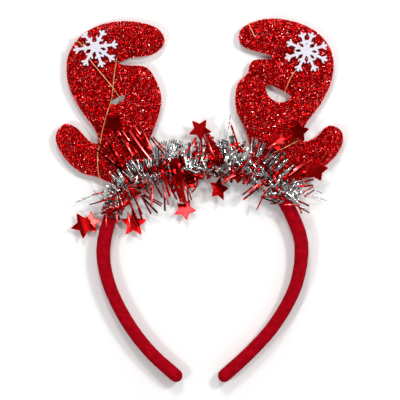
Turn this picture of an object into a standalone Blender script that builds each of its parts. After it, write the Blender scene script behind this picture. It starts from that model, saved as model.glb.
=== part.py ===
"""Reindeer antler headband, lying on its back on a flat surface.

Metres. +X is right, +Y points from the band's tips to the antlers, +Z is up, and the surface is Z = 0.
The origin is the middle of the whole outline, at the height of the surface.
"""

import math

import bmesh
import bpy
import numpy as np
from mathutils import Matrix, Vector
from mathutils.geometry import delaunay_2d_cdt

# Driving sizes
BAND_WIDTH = 0.1383
BAND_HEIGHT = 0.1453
BAND_THICKNESS = 0.0093
BAND_DEPTH = 0.012
BAND_SQUARENESS = 2.6
WINDING_SQUEEZE = 0.0014

ANTLER_WIDTH = 0.0715
ANTLER_HEIGHT = 0.1055
ANTLER_THICKNESS = 0.0102
ANTLER_CROWN = 0.0006
ANTLER_ROUNDING = 0.0052
SEAM_HEIGHT = 0.0018
CREASE_WIDTH = 0.0035
CREASE_DEPTH = 0.0028

TINSEL_REACH = 0.0078
TINSEL_RISE = 0.0052
TINSEL_SPIKE = 0.0021
GARLAND_SQUARENESS = 3.0
STRIP_LENGTH = 0.020
STRIP_WIDTH = 0.0018
STRIP_THICKNESS = 0.0009
SHORT_STRIP = 0.86

SNOWFLAKE_RADIUS = 0.0141
FELT_THICKNESS = 0.0015

STAR_RADIUS = 0.0066
STAR_THICKNESS = 0.0008
STAR_RIDGE = 0.0010
STAR_WAIST = 0.42
STAR_DROP = 0.020
STRAND_WIDTH = 0.0012
STRAND_THICKNESS = 0.0006

CLEARANCE = 0.0003

# Fineness of the facets
BAND_STATIONS = 56
BAND_SIDES = 14
END_TURNS = (80, 58, 32)
CURVE_STEPS = 10
TANGENT_REACH = 0.0025
OUTLINE_STEP = 0.0046
GARLAND_STATIONS = 40
GARLAND_SIDES = 16

# Points inside an antler. Each ring has its depth as a share of the rounding, and every gap, pitch and
# margin is a share of the outline's step or of the rounding.
RING_DEPTHS = (1.0, 0.32)
RING_FIT = 0.93
RING_GAP = 0.55
GRID_PITCH = 1.35
GRID_ROW = 0.87
GRID_MARGIN = 1.35
GRID_GAP = 0.6

# How much further than its clearance a cutter's mitred corners stand out
ANTLER_MITRE = 1.3
STAR_TIP_MITRE = 3.0

# Places along the band, as shares of its length from the left tip
GARLAND_START = 0.317
GARLAND_END = 0.660
LEFT_ANTLER_FOOT = 0.379
RIGHT_ANTLER_FOOT = 0.614

# Middle line of the band. Columns: down as a share of its height, how far the left and the right limb
# stand from the middle as shares of half its width, and the limb's thickness as a share of the band's.
BAND_LINE = [
    (0.000, 0.000, 0.000, 1.00),
    (0.008, 0.232, 0.222, 1.00),
    (0.031, 0.444, 0.454, 1.00),
    (0.080, 0.665, 0.689, 1.00),
    (0.167, 0.827, 0.849, 1.00),
    (0.239, 0.898, 0.931, 1.00),
    (0.342, 0.960, 1.013, 1.00),
    (0.411, 0.975, 1.022, 1.00),
    (0.483, 0.961, 1.009, 0.95),
    (0.595, 0.893, 0.945, 0.92),
    (0.764, 0.706, 0.740, 0.92),
    (0.899, 0.479, 0.482, 0.92),
    (1.000, 0.242, 0.246, 0.95),
]

# Antler outlines, from the outer end of the foot round to the inner end. Columns: outwards from the
# foot as a share of the antler's width, up from the foot as a share of its height, and whether the
# outline turns a corner there.
LEFT_ANTLER = [
    (0.091, -0.063, True),
    (0.307, 0.028, False),
    (0.474, 0.059, False),
    (0.639, 0.158, False),
    (0.718, 0.288, False),
    (0.632, 0.368, False),
    (0.525, 0.344, False),
    (0.385, 0.249, False),
    (0.323, 0.240, True),
    (0.346, 0.314, False),
    (0.499, 0.461, False),
    (0.607, 0.625, False),
    (0.601, 0.789, False),
    (0.474, 0.914, False),
    (0.256, 0.986, False),
    (0.002, 0.997, False),
    (-0.228, 0.949, False),
    (-0.285, 0.876, False),
    (-0.190, 0.794, False),
    (0.027, 0.768, False),
    (0.159, 0.736, True),
    (0.053, 0.725, False),
    (-0.114, 0.716, False),
    (-0.203, 0.633, False),
    (-0.254, 0.521, False),
    (-0.209, 0.374, False),
    (-0.136, 0.233, False),
    (-0.182, 0.059, True),
]
RIGHT_ANTLER = [
    (0.097, -0.075, True),
    (0.315, 0.023, False),
    (0.524, 0.102, False),
    (0.665, 0.210, False),
    (0.679, 0.313, False),
    (0.555, 0.357, False),
    (0.422, 0.275, False),
    (0.305, 0.250, True),
    (0.333, 0.344, False),
    (0.485, 0.487, False),
    (0.587, 0.642, False),
    (0.587, 0.798, False),
    (0.460, 0.923, False),
    (0.205, 1.001, False),
    (-0.063, 1.007, False),
    (-0.255, 0.940, False),
    (-0.255, 0.850, False),
    (-0.037, 0.794, False),
    (0.170, 0.755, True),
    (-0.012, 0.763, False),
    (-0.152, 0.750, False),
    (-0.185, 0.675, True),
    (-0.280, 0.608, False),
    (-0.293, 0.452, False),
    (-0.191, 0.296, False),
    (-0.157, 0.153, False),
    (-0.185, 0.059, True),
]

# The hole that the antler's middle and inner tines close, and the crease where one lies on the other.
# Columns: outwards and up, as above.
LEFT_HOLE = [(0.221, 0.492), (0.127, 0.534), (0.078, 0.546), (0.114, 0.498), (0.177, 0.484)]
RIGHT_HOLE = [(-0.016, 0.605), (0.099, 0.575), (0.214, 0.524), (0.099, 0.496), (0.001, 0.541)]
LEFT_CREASE = [(0.078, 0.546), (0.068, 0.584), (0.095, 0.640)]
RIGHT_CREASE = [(-0.185, 0.675), (-0.112, 0.658), (-0.016, 0.605)]

# Middles of the snowflakes in the same shares. Their arms have columns: direction in degrees from +X,
# and length as a share of the snowflake's radius.
LEFT_SNOWFLAKE_AT = (0.353, 0.835)
RIGHT_SNOWFLAKE_AT = (0.347, 0.811)
LEFT_ARMS = [(7, 1.02), (62, 0.84), (131, 0.84), (-172, 0.99), (-122, 0.98), (-70, 0.97), (-34, 1.05)]
RIGHT_ARMS = [
    (16, 0.97), (71, 0.87), (105, 0.86), (155, 0.97), (-161, 1.02), (-114, 1.0), (-66, 1.0), (-25, 1.03),
]
# Half of one arm's outline, from the valley beside it to its tip. Columns: along and across as shares
# of the arm's length.
ARM_OUTLINE = [
    (0.42, 0.075), (0.53, 0.215), (0.61, 0.175), (0.56, 0.070), (0.72, 0.060),
    (0.84, 0.175), (0.92, 0.135), (0.90, 0.060), (0.98, 0.065),
]
ARM_VALLEY = 0.28

# How far the tinsel stands out of the band. Columns: place as a share of the garland, then outwards and
# inwards as shares of the reach and forwards as a share of the rise.
GARLAND_SECTIONS = [
    (0.00, 0.55, 0.45, 0.45),
    (0.15, 1.10, 0.60, 0.75),
    (0.32, 1.45, 0.55, 0.90),
    (0.50, 1.40, 0.20, 0.95),
    (0.68, 1.50, 0.50, 0.90),
    (0.86, 1.10, 0.60, 0.75),
    (1.00, 0.50, 0.45, 0.45),
]

# Longer strips of the garland in groups. Columns: first and last place on the band, how many, first and
# last heading in degrees from +X, first and last length as shares of the strip length, and height as a
# share of the band's depth.
STRIP_GROUPS = [
    (0.368, 0.455, 9, -112, -84, 1.25, 1.20, 0.50),
    (0.330, 0.346, 3, 197, 215, 1.30, 0.90, 0.60),
    (0.455, 0.535, 6, 108, 72, 1.20, 1.35, 0.75),
    (0.632, 0.653, 4, 0, -38, 1.25, 0.95, 0.60),
    (0.585, 0.625, 4, -120, -140, 1.00, 1.10, 0.45),
]
# Each strip narrows and sinks towards its tip. Columns: place along it, width and sag as shares.
STRIP_TAPER = [(0.0, 1.0, 0.0), (0.55, 0.9, 0.4), (1.0, 0.35, 1.0)]
# How far the tips sink by turns, as shares of the band's depth
STRIP_SAGS = (0.12, 0.24, 0.36)

# Stars that hang free. Columns: name, place of the strand's root on the band, side of the band (1 outer,
# -1 inner), heading from there in degrees, gap between root and star as a share of the drop, height as a
# share of the band's depth, size as a share of the star radius, turn, tilt and the tilt's axis in degrees.
FREE_STARS = [
    ("star_1", 0.495, 1, 90, 0.60, 0.62, 1.06, 41, 8, 20),
    ("star_3", 0.317, 1, -145, 0.45, 0.34, 1.25, 32, 10, 100),
    ("star_4", 0.350, -1, -76, 0.43, 0.28, 1.22, 0, 8, 30),
    ("star_5", 0.462, -1, -84, 0.78, 0.34, 1.08, 46, 22, 0),
    ("star_6", 0.519, -1, -71, 0.18, 0.55, 1.02, 61, 42, 90),
    ("star_10", 0.479, -1, -89, 0.04, 0.16, 0.80, 9, 0, 0),
    ("star_11", 0.326, 1, -137, 0.49, 0.03, 1.15, 66, 0, 0),
]
# Stars that lie on an antler's front, with the side and the height left out of their columns.
RESTING_STARS = [
    ("star_2", 0.360, 95, 1.69, 1.03, 42, 6, 40),
    ("star_7", 0.632, 73, 1.45, 1.08, 68, 14, 95),
    ("star_8", 0.604, 76, 0.72, 1.08, 62, 14, 60),
    ("star_9", 0.649, 42, 0.79, 1.18, 61, 6, 10),
]

# Colours, linear
VELVET_RED = (0.30, 0.004, 0.012)
KNIT_RED = (0.42, 0.004, 0.012)
FELT_WHITE = (0.80, 0.80, 0.86)
FOIL_SILVER = (0.72, 0.72, 0.72)
FOIL_RED = (0.62, 0.006, 0.010)


# Lines and outlines

def smooth_line(points):
    """Points on one smooth curve through the given ones, which may lie unevenly."""
    knots = np.array(points, float)
    spans = np.sqrt(np.linalg.norm(np.diff(knots, axis=0), axis=1))[:, None]
    slopes = np.diff(knots, axis=0) / spans
    inner = (slopes[:-1] * spans[1:] + slopes[1:] * spans[:-1]) / (spans[1:] + spans[:-1])
    tangents = np.vstack([slopes[:1], inner, slopes[-1:]])
    line = []
    for i, span in enumerate(spans[:, 0]):
        for t in np.linspace(0, 1, CURVE_STEPS, endpoint=False):
            line.append(
                (2 * t**3 - 3 * t**2 + 1) * knots[i]
                + (t**3 - 2 * t**2 + t) * span * tangents[i]
                + (3 * t**2 - 2 * t**3) * knots[i + 1]
                + (t**3 - t**2) * span * tangents[i + 1]
            )
    return np.array(line + [knots[-1]])


def line_lengths(line):
    return np.concatenate([[0], np.cumsum(np.linalg.norm(np.diff(line, axis=0), axis=1))])


def even_points(line, step):
    """The line in equal steps close to the given one, with its last point left off."""
    lengths = line_lengths(line)
    count = max(2, round(lengths[-1] / step))
    at = np.linspace(0, lengths[-1], count, endpoint=False)
    return np.stack([np.interp(at, lengths, line[:, k]) for k in (0, 1)], axis=1)


def band_line():
    """The band's middle line from the left tip to the right tip, with its top at (0, 0)."""
    half_width = (BAND_WIDTH - BAND_THICKNESS) / 2
    height = BAND_HEIGHT - BAND_THICKNESS
    left = [(-half_width * row[1], -height * row[0]) for row in BAND_LINE]
    right = [(half_width * row[2], -height * row[0]) for row in BAND_LINE]
    return smooth_line(left[:0:-1] + right)


def centred(line):
    """The line moved so that the band and the antlers together are centred on the origin."""
    tops = []
    for foot, rows in ((LEFT_ANTLER_FOOT, LEFT_ANTLER), (RIGHT_ANTLER_FOOT, RIGHT_ANTLER)):
        lengths = line_lengths(line)
        foot_y = np.interp(foot * lengths[-1], lengths, line[:, 1])
        tops.append(foot_y + ANTLER_HEIGHT * max(row[1] for row in rows))
    bottom = line[:, 1].min() - BAND_THICKNESS / 2
    return line - (0, (max(tops) + bottom) / 2)


LINE = centred(band_line())
LENGTHS = line_lengths(LINE)


def band_place(share):
    """Middle point, direction and outward normal of the band at a share of its length."""
    at = share * LENGTHS[-1]
    probe = TANGENT_REACH * LENGTHS[-1]
    point = np.array([np.interp(at, LENGTHS, LINE[:, k]) for k in (0, 1)])
    ends = [
        np.array([np.interp(np.clip(at + d, 0, LENGTHS[-1]), LENGTHS, LINE[:, k]) for k in (0, 1)])
        for d in (-probe, probe)
    ]
    along = (ends[1] - ends[0]) / np.linalg.norm(ends[1] - ends[0])
    return point, along, np.array([-along[1], along[0]])


def band_thickness(share):
    """Across the band at a share of its length."""
    down = (LINE[:, 1].max() - band_place(share)[0][1]) / (BAND_HEIGHT - BAND_THICKNESS)
    rows = np.array(BAND_LINE)
    return BAND_THICKNESS * np.interp(down, rows[:, 0], rows[:, 3])


def rounded_section(sides, squareness):
    """Points round a rounded square that reaches 1 across and up, with a flat side below."""
    angles = math.pi * (2 * np.arange(sides) + 1) / sides - math.pi / 2
    ring = np.stack([np.cos(angles), np.sin(angles)], axis=1)
    ring = np.sign(ring) * abs(ring) ** (2 / squareness)
    return ring / abs(ring).max(axis=0)


# Objects

def material(name, colour, roughness, metallic):
    made = bpy.data.materials.new(name)
    made.use_nodes = True
    shader = made.node_tree.nodes["Principled BSDF"]
    shader.inputs["Base Color"].default_value = (*colour, 1)
    shader.inputs["Roughness"].default_value = roughness
    shader.inputs["Metallic"].default_value = metallic
    made.diffuse_color = (*colour, 1)
    return made


def object_of(name, bm, finish=None):
    """An object of the bmesh, with its faces turned outwards."""
    bmesh.ops.recalc_face_normals(bm, faces=bm.faces)
    mesh = bpy.data.meshes.new(name)
    bm.to_mesh(mesh)
    bm.free()
    if finish:
        mesh.materials.append(finish)
    made = bpy.data.objects.new(name, mesh)
    bpy.context.scene.collection.objects.link(made)
    return made


def tube(rings):
    """A closed bmesh skinned over rings of points."""
    bm = bmesh.new()
    loops = [[bm.verts.new(p) for p in ring] for ring in rings]
    count = len(loops[0])
    for a, b in zip(loops, loops[1:]):
        for i in range(count):
            j = (i + 1) % count
            bm.faces.new((a[i], a[j], b[j], b[i]))
    bm.faces.new(loops[0])
    bm.faces.new(loops[-1])
    bmesh.ops.triangulate(bm, faces=bm.faces)
    return bm


def extruded(outline, low, high):
    """A closed bmesh with the flat outline at both heights."""
    bm = bmesh.new()
    floor = bm.faces.new([bm.verts.new((x, y, low)) for x, y in outline])
    raised = bmesh.ops.extrude_face_region(bm, geom=[floor])["geom"]
    risen = [v for v in raised if isinstance(v, bmesh.types.BMVert)]
    bmesh.ops.translate(bm, verts=risen, vec=(0, 0, high - low))
    return bm


def add_boolean(target, operation, others):
    tools = bpy.data.collections.new(f"{target.name}_{operation.lower()}")
    for other in others:
        other.hide_render = True
        other.display_type = "WIRE"
        tools.objects.link(other)
    change = target.modifiers.new(operation.title(), "BOOLEAN")
    change.operation = operation
    change.operand_type = "COLLECTION"
    change.collection = tools
    change.solver = "EXACT"


def keep_main_body(target):
    """Applies the Booleans and deletes the loose offcuts that they leave."""
    graph = bpy.context.evaluated_depsgraph_get()
    mesh = bpy.data.meshes.new_from_object(target.evaluated_get(graph))
    target.modifiers.clear()
    target.data = mesh
    bm = bmesh.new()
    bm.from_mesh(mesh)
    left = set(bm.verts)
    bodies = []
    while left:
        body = set()
        edge = [left.pop()]
        while edge:
            vert = edge.pop()
            body.add(vert)
            near = {e.other_vert(vert) for e in vert.link_edges} & left
            left -= near
            edge += near
        bodies.append(body)
    largest = max(bodies, key=len)
    bmesh.ops.delete(bm, geom=[v for v in bm.verts if v not in largest], context="VERTS")
    bm.to_mesh(mesh)
    bm.free()


def shade_round(target, sharpest=40):
    target.data.shade_smooth()
    target.data.set_sharp_from_angle(angle=math.radians(sharpest))


# Headband

def squeezed(share):
    """How much of the winding's squeeze the band takes at a place, from 0 to 1."""
    ramp = BAND_THICKNESS / LENGTHS[-1]
    inside = min(share - GARLAND_START, GARLAND_END - share) + ramp
    return min(max(inside / ramp, 0.0), 1.0)


def band_ring(share, scale=1.0, beyond=0.0, grow=0.0):
    """One section of the band, scaled about its middle and moved on past the share by a distance."""
    point, along, outward = band_place(share)
    point = point + along * beyond
    half_width = (band_thickness(share) / 2 + grow) * scale
    half_depth = (BAND_DEPTH / 2 - WINDING_SQUEEZE * squeezed(share) + grow) * scale
    ring = []
    for u, w in rounded_section(BAND_SIDES, BAND_SQUARENESS):
        x, y = point + outward * u * half_width
        ring.append((x, y, BAND_DEPTH / 2 + w * half_depth))
    return ring


def band_rings(grow=0.0):
    """Sections from one round end to the other."""
    turns = [math.radians(degrees) for degrees in END_TURNS]
    first, last = band_thickness(0) / 2, band_thickness(1) / 2
    start = [band_ring(0, math.cos(a), -first * math.sin(a), grow) for a in turns]
    middle = [band_ring(i / BAND_STATIONS, grow=grow) for i in range(BAND_STATIONS + 1)]
    end = [band_ring(1, math.cos(a), last * math.sin(a), grow) for a in reversed(turns)]
    return start + middle + end


def headband():
    velvet = material("velvet", VELVET_RED, 0.85, 0.0)
    made = object_of("headband", tube(band_rings()), velvet)
    shade_round(made)
    return made


def band_space():
    """A wall as wide as the band and its clearance, and taller than the whole object."""
    half = BAND_THICKNESS / 2 + CLEARANCE
    rings = []
    for i in range(BAND_STATIONS + 1):
        point, along, outward = band_place(i / BAND_STATIONS)
        inner, outer = point - outward * half, point + outward * half
        low, high = -BAND_DEPTH, 3 * BAND_DEPTH
        rings.append([(*inner, low), (*outer, low), (*outer, high), (*inner, high)])
    return object_of("band_space", tube(rings))


# Antlers

def antler_point(foot, side, outwards, up):
    """A point given in an antler's shares, where side is -1 for the left antler and 1 for the right."""
    point = band_place(foot)[0]
    return point + (side * outwards * ANTLER_WIDTH, up * ANTLER_HEIGHT)


def antler_outline(foot, side, rows):
    """The outline as even points, anticlockwise."""
    points = [antler_point(foot, side, outwards, up) for outwards, up, corner in rows]
    corners = [i for i, row in enumerate(rows) if row[2]]
    outline = []
    for a, b in zip(corners, corners[1:]):
        outline += list(even_points(smooth_line(points[a:b + 1]), OUTLINE_STEP))
    outline += list(even_points(np.array([points[-1], points[0]]), OUTLINE_STEP))
    return anticlockwise(outline)


def hole_outline(foot, side, rows):
    """The hole's outline, clockwise, so that the material is on its left as on the outline's."""
    points = [antler_point(foot, side, outwards, up) for outwards, up in rows]
    overlapping = smooth_line(points[-2:] + points + points[:2])
    once_round = overlapping[2 * CURVE_STEPS:-CURVE_STEPS]
    return anticlockwise(even_points(once_round, OUTLINE_STEP / 2))[::-1]


def anticlockwise(points):
    points = np.array(points)
    after = np.roll(points, -1, axis=0)
    area = (points[:, 0] * after[:, 1] - after[:, 0] * points[:, 1]).sum()
    return points if area > 0 else points[::-1]


def left_normals(loop):
    along = np.roll(loop, -1, axis=0) - np.roll(loop, 1, axis=0)
    along /= np.linalg.norm(along, axis=1)[:, None]
    return np.stack([-along[:, 1], along[:, 0]], axis=1)


def distance_to(points, starts, ends):
    """Distance from each point to the nearest of the straight pieces."""
    spans = ends - starts
    offset = points[:, None] - starts[None]
    share = (offset * spans).sum(-1) / (spans**2).sum(-1)
    return np.linalg.norm(offset - np.clip(share, 0, 1)[..., None] * spans, axis=-1).min(axis=1)


def inside_loop(points, loop):
    """Which points lie inside a closed loop."""
    x, y = points[:, 0, None], points[:, 1, None]
    after = np.roll(loop, -1, axis=0)
    spans = (loop[None, :, 1] > y) != (after[None, :, 1] > y)
    rise = after[:, 1] - loop[:, 1]
    rise = np.where(rise == 0, 1, rise)
    crossing = loop[:, 0] + (y - loop[:, 1]) / rise * (after[:, 0] - loop[:, 0])
    return (spans & (x < crossing)).sum(axis=1) % 2 == 1


def spread_points(candidates, taken, gap):
    """The candidates that keep the gap to all those chosen before them."""
    chosen = list(taken)
    for point in candidates:
        if np.linalg.norm(np.array(chosen) - point, axis=1).min() >= gap:
            chosen.append(point)
    return chosen[len(taken):]


def antler_heights(distance, crease_distance):
    """Heights of the front and the back for distances from the seam and from the crease."""
    reach = np.clip(distance / ANTLER_ROUNDING, 0, 1)
    swell = np.sqrt(1 - (1 - reach) ** 2)
    half = SEAM_HEIGHT / 2 + (ANTLER_THICKNESS - SEAM_HEIGHT) / 2 * swell
    crown = np.clip(distance / ANTLER_ROUNDING - 1, 0, 1)
    dent = CREASE_DEPTH * np.clip(1 - crease_distance / CREASE_WIDTH, 0, 1) ** 2 * swell
    middle = ANTLER_THICKNESS / 2
    return middle + half + ANTLER_CROWN * crown - dent, middle - half


def antler_mesh(foot, side, rows, hole_rows, crease_rows):
    """A padded shape: two bulging faces joined along the seam round the outline and the hole."""
    outline = antler_outline(foot, side, rows)
    hole = hole_outline(foot, side, hole_rows)
    rim = np.vstack([outline, hole])
    turns = [np.roll(np.arange(len(outline)), -1), len(outline) + np.roll(np.arange(len(hole)), -1)]
    after = np.concatenate(turns)
    starts, ends = rim, rim[after]

    crease = np.array([antler_point(foot, side, outwards, up) for outwards, up in crease_rows])
    inward = np.vstack([left_normals(outline), left_normals(hole)])
    chosen = list(crease[1:-1])
    for share in RING_DEPTHS:
        depth = share * ANTLER_ROUNDING
        ring = rim + inward * depth
        clear = distance_to(ring, starts, ends) > RING_FIT * depth
        ring = ring[clear & inside_loop(ring, outline) & ~inside_loop(ring, hole)]
        chosen += spread_points(ring, list(rim) + chosen, RING_GAP * OUTLINE_STEP)
    low, high = outline.min(axis=0), outline.max(axis=0)
    pitch = GRID_PITCH * OUTLINE_STEP
    grid = np.array([
        (x + (row % 2) * pitch / 2, y)
        for row, y in enumerate(np.arange(low[1], high[1], pitch * GRID_ROW))
        for x in np.arange(low[0], high[0], pitch)
    ])
    deep = distance_to(grid, starts, ends) > GRID_MARGIN * ANTLER_ROUNDING
    grid = grid[deep & inside_loop(grid, outline) & ~inside_loop(grid, hole)]
    chosen += spread_points(grid, chosen, GRID_GAP * OUTLINE_STEP)

    millimetres = [Vector(p * 1000) for p in np.vstack([rim, chosen])]
    seam = list(zip(range(len(rim)), after.tolist()))
    flat, _, triangles, origins, _, _ = delaunay_2d_cdt(millimetres, seam, [], 0, 1e-6)
    flat = np.array([tuple(v) for v in flat]) / 1000
    middles = flat[np.array(triangles)].mean(axis=1)
    filled = inside_loop(middles, outline) & ~inside_loop(middles, hole)

    distance = distance_to(flat, starts, ends)
    fronts, backs = antler_heights(distance, distance_to(flat, crease[:-1], crease[1:]))
    bm = bmesh.new()
    front = [bm.verts.new((*p, z)) for p, z in zip(flat, fronts)]
    back = [bm.verts.new((*p, z)) for p, z in zip(flat, backs)]
    for triangle, kept in zip(triangles, filled):
        if kept:
            bm.faces.new([front[i] for i in triangle])
            bm.faces.new([back[i] for i in reversed(triangle)])
    place = {old: new for new, olds in enumerate(origins) for old in olds}
    for a, b in seam:
        i, j = place[a], place[b]
        bm.faces.new((front[i], back[i], back[j], front[j]))
    loose = [v for v in bm.verts if not v.link_faces]
    bmesh.ops.delete(bm, geom=loose, context="VERTS")
    bmesh.ops.recalc_face_normals(bm, faces=bm.faces)
    return bm


def grown(name, bm, by):
    """A cutter: the same shape with every point moved out along its normal."""
    bm.normal_update()
    moved = [(v, v.co + v.normal * by) for v in bm.verts]
    for vert, place in moved:
        vert.co = place
    return object_of(name, bm)


def antler(name, foot, side, rows, hole, crease, finish):
    """The antler, whose foot stops short of the band. Returns the space that it takes in the garland."""
    made = object_of(name, antler_mesh(foot, side, rows, hole, crease), finish)
    bm = antler_mesh(foot, side, rows, hole, crease)
    space = grown(name + "_space", bm, CLEARANCE * ANTLER_MITRE)
    cutter = band_space()
    cutter.name = name + "_band_space"
    add_boolean(made, "DIFFERENCE", [cutter])
    keep_main_body(made)
    shade_round(made)
    return space


def antler_front():
    """Height of the highest part of an antler's front."""
    return ANTLER_THICKNESS + ANTLER_CROWN


# Snowflakes

def snowflake_outline(arms):
    """Anticlockwise points round all the arms."""
    arms = sorted(arms)
    outline = []
    for i, (direction, length) in enumerate(arms):
        reach = length * SNOWFLAKE_RADIUS
        half = [(along * reach, across * SNOWFLAKE_RADIUS) for along, across in ARM_OUTLINE]
        local = [(u, -v) for u, v in half] + [(u, v) for u, v in reversed(half)]
        c, s = math.cos(math.radians(direction)), math.sin(math.radians(direction))
        outline += [(u * c - v * s, u * s + v * c) for u, v in local]
        following = arms[(i + 1) % len(arms)][0] + (360 if i + 1 == len(arms) else 0)
        valley = math.radians((direction + following) / 2)
        depth = ARM_VALLEY * SNOWFLAKE_RADIUS
        outline.append((depth * math.cos(valley), depth * math.sin(valley)))
    return outline


def snowflake(name, foot, side, at, arms, finish):
    made = object_of(name, extruded(snowflake_outline(arms), 0, FELT_THICKNESS), finish)
    made.location = (*antler_point(foot, side, *at), antler_front() + CLEARANCE)
    return made


# Foil stars

def star_mesh(radius, grow=0.0):
    """A five-pointed plate whose front rises to the middle, flat on its back at Z = 0."""
    points = []
    for k in range(10):
        reach = radius + STAR_TIP_MITRE * grow if k % 2 == 0 else STAR_WAIST * radius + grow
        angle = math.radians(90 + 36 * k)
        points.append((reach * math.cos(angle), reach * math.sin(angle)))
    bm = extruded(points, -grow, STAR_THICKNESS + grow)
    front = max(bm.faces, key=lambda face: face.calc_center_median().z)
    centre = bmesh.ops.poke(bm, faces=[front])["verts"][0]
    centre.co.z += STAR_RIDGE
    return bm


def strip(start, end, width, thickness):
    """A closed bmesh of a straight flat strip, as level as its ends allow."""
    start, end = Vector(start), Vector(end)
    along = (end - start).normalized()
    across = along.cross(Vector((0, 0, 1))).normalized()
    rise = across.cross(along)
    corners = [(-1, -1), (1, -1), (1, 1), (-1, 1)]
    rings = [
        [p + across * u * width / 2 + rise * v * thickness / 2 for u, v in corners]
        for p in (start, end)
    ]
    return tube(rings)


def star(name, centre, root, size, turn, tilt, tilt_axis, finish):
    """A star with the strand from its middle to the root. Returns the space that they take."""
    axis = Vector((math.cos(math.radians(tilt_axis)), math.sin(math.radians(tilt_axis)), 0))
    placed = (
        Matrix.Translation(centre)
        @ Matrix.Rotation(math.radians(tilt), 4, axis)
        @ Matrix.Rotation(math.radians(turn), 4, "Z")
    )
    middle = Vector(centre) + Vector((0, 0, STAR_THICKNESS / 2))
    root = Vector(root)
    beyond = (root - middle).normalized()
    for grow, last in ((0.0, finish), (CLEARANCE, None)):
        plate = object_of(name if last else name + "_space", star_mesh(size * STAR_RADIUS, grow), last)
        plate.matrix_world = placed
        width, thickness = STRAND_WIDTH + 2 * grow, STRAND_THICKNESS + 2 * grow
        strand = object_of(name + "_strand", strip(middle, root + beyond * grow, width, thickness))
        bpy.context.view_layer.update()
        add_boolean(plate, "UNION", [strand])
        keep_main_body(plate)
        bpy.data.objects.remove(strand)
    return plate


def tilt_rise(size, tilt):
    """How far a tilted star's lowest point sinks below its middle."""
    return size * STAR_RADIUS * math.sin(math.radians(tilt))


def star_from(root, heading, gap, size):
    """Middle of a star on the floor plan, past the root along a heading."""
    distance = size * STAR_RADIUS + gap * STAR_DROP
    angle = math.radians(heading)
    return root + distance * np.array([math.cos(angle), math.sin(angle)])


def free_star(name, share, side, heading, gap, height, size, turn, tilt, tilt_axis, finish):
    point, _, outward = band_place(share)
    surface = point + side * outward * BAND_THICKNESS / 2
    x, y = star_from(surface, heading, gap, size)
    hold = surface + side * outward * 2 * CLEARANCE
    z = max(height * BAND_DEPTH, tilt_rise(size, tilt) + CLEARANCE)
    return star(name, (x, y, z), (*hold, BAND_DEPTH / 2), size, turn, tilt, tilt_axis, finish)


def resting_star(name, share, heading, gap, size, turn, tilt, tilt_axis, finish):
    point, _, outward = band_place(share)
    surface = point + outward * BAND_THICKNESS / 2
    x, y = star_from(surface, heading, gap, size)
    lowest = antler_front() + CLEARANCE
    root_z = lowest + STRAND_THICKNESS
    z = lowest + tilt_rise(size, tilt)
    return star(name, (x, y, z), (*point, root_z), size, turn, tilt, tilt_axis, finish)


# Garland

def garland_ring(index):
    """One section of the tinsel, whose points stand out and back by turns."""
    along_garland = index / GARLAND_STATIONS
    share = GARLAND_START + (GARLAND_END - GARLAND_START) * along_garland
    point, _, outward = band_place(share)
    table = np.array(GARLAND_SECTIONS)
    out, back, front = (np.interp(along_garland, table[:, 0], table[:, k]) for k in (1, 2, 3))
    middle = BAND_DEPTH / 2
    half_depth = middle - WINDING_SQUEEZE
    ring = []
    for k, (u, w) in enumerate(rounded_section(GARLAND_SIDES, GARLAND_SQUARENESS)):
        reach = BAND_THICKNESS / 2 + TINSEL_REACH * (out if u > 0 else back)
        rise = half_depth + TINSEL_RISE * front if w > 0 else middle
        place = np.array([u * reach, w * rise])
        if (index + k) % 2 and 0 < index < GARLAND_STATIONS:
            place *= 1 + TINSEL_SPIKE / np.linalg.norm(place)
        x, y = point + outward * place[0]
        ring.append((x, y, max(middle + place[1], 0)))
    return ring


def tinsel_strips():
    """The longer strips, each tapering from inside the sleeve to its tip."""
    made = []
    for first, last, count, heading_a, heading_b, length_a, length_b, height in STRIP_GROUPS:
        for i in range(count):
            t = i / (count - 1)
            point, _, outward = band_place(first + (last - first) * t)
            angle = math.radians(heading_a + (heading_b - heading_a) * t)
            heading = np.array([math.cos(angle), math.sin(angle)])
            side = math.copysign(1, heading @ outward)
            start = point + side * outward * (BAND_THICKNESS / 2 + 2 * CLEARANCE)
            length = STRIP_LENGTH * (length_a + (length_b - length_a) * t)
            if i % 2 == 0:
                length *= SHORT_STRIP
            z = height * BAND_DEPTH
            sag = STRIP_SAGS[i % len(STRIP_SAGS)] * BAND_DEPTH
            across = np.array([-heading[1], heading[0]])
            rings = []
            for along, width, drop in STRIP_TAPER:
                x, y = start + heading * length * along
                half = STRIP_WIDTH / 2 * width
                low = max(z - sag * drop, STRIP_THICKNESS) - STRIP_THICKNESS / 2
                (ax, ay), (bx, by) = (x, y) - across * half, (x, y) + across * half
                high = low + STRIP_THICKNESS
                rings.append([(ax, ay, low), (bx, by, low), (bx, by, high), (ax, ay, high)])
            made.append(object_of(f"tinsel_strip_{len(made) + 1}", tube(rings)))
    return made


def garland(spaces):
    foil = material("tinsel_foil", FOIL_SILVER, 0.22, 1.0)
    rings = [garland_ring(i) for i in range(GARLAND_STATIONS + 1)]
    made = object_of("garland", tube(rings), foil)
    strips = tinsel_strips()
    add_boolean(made, "UNION", strips)
    core = object_of("headband_space", tube(band_rings(grow=CLEARANCE)))
    for space in [core] + spaces:
        add_boolean(made, "DIFFERENCE", [space])
    keep_main_body(made)
    for helper in strips + [core]:
        bpy.data.objects.remove(helper)
    return made


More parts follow.
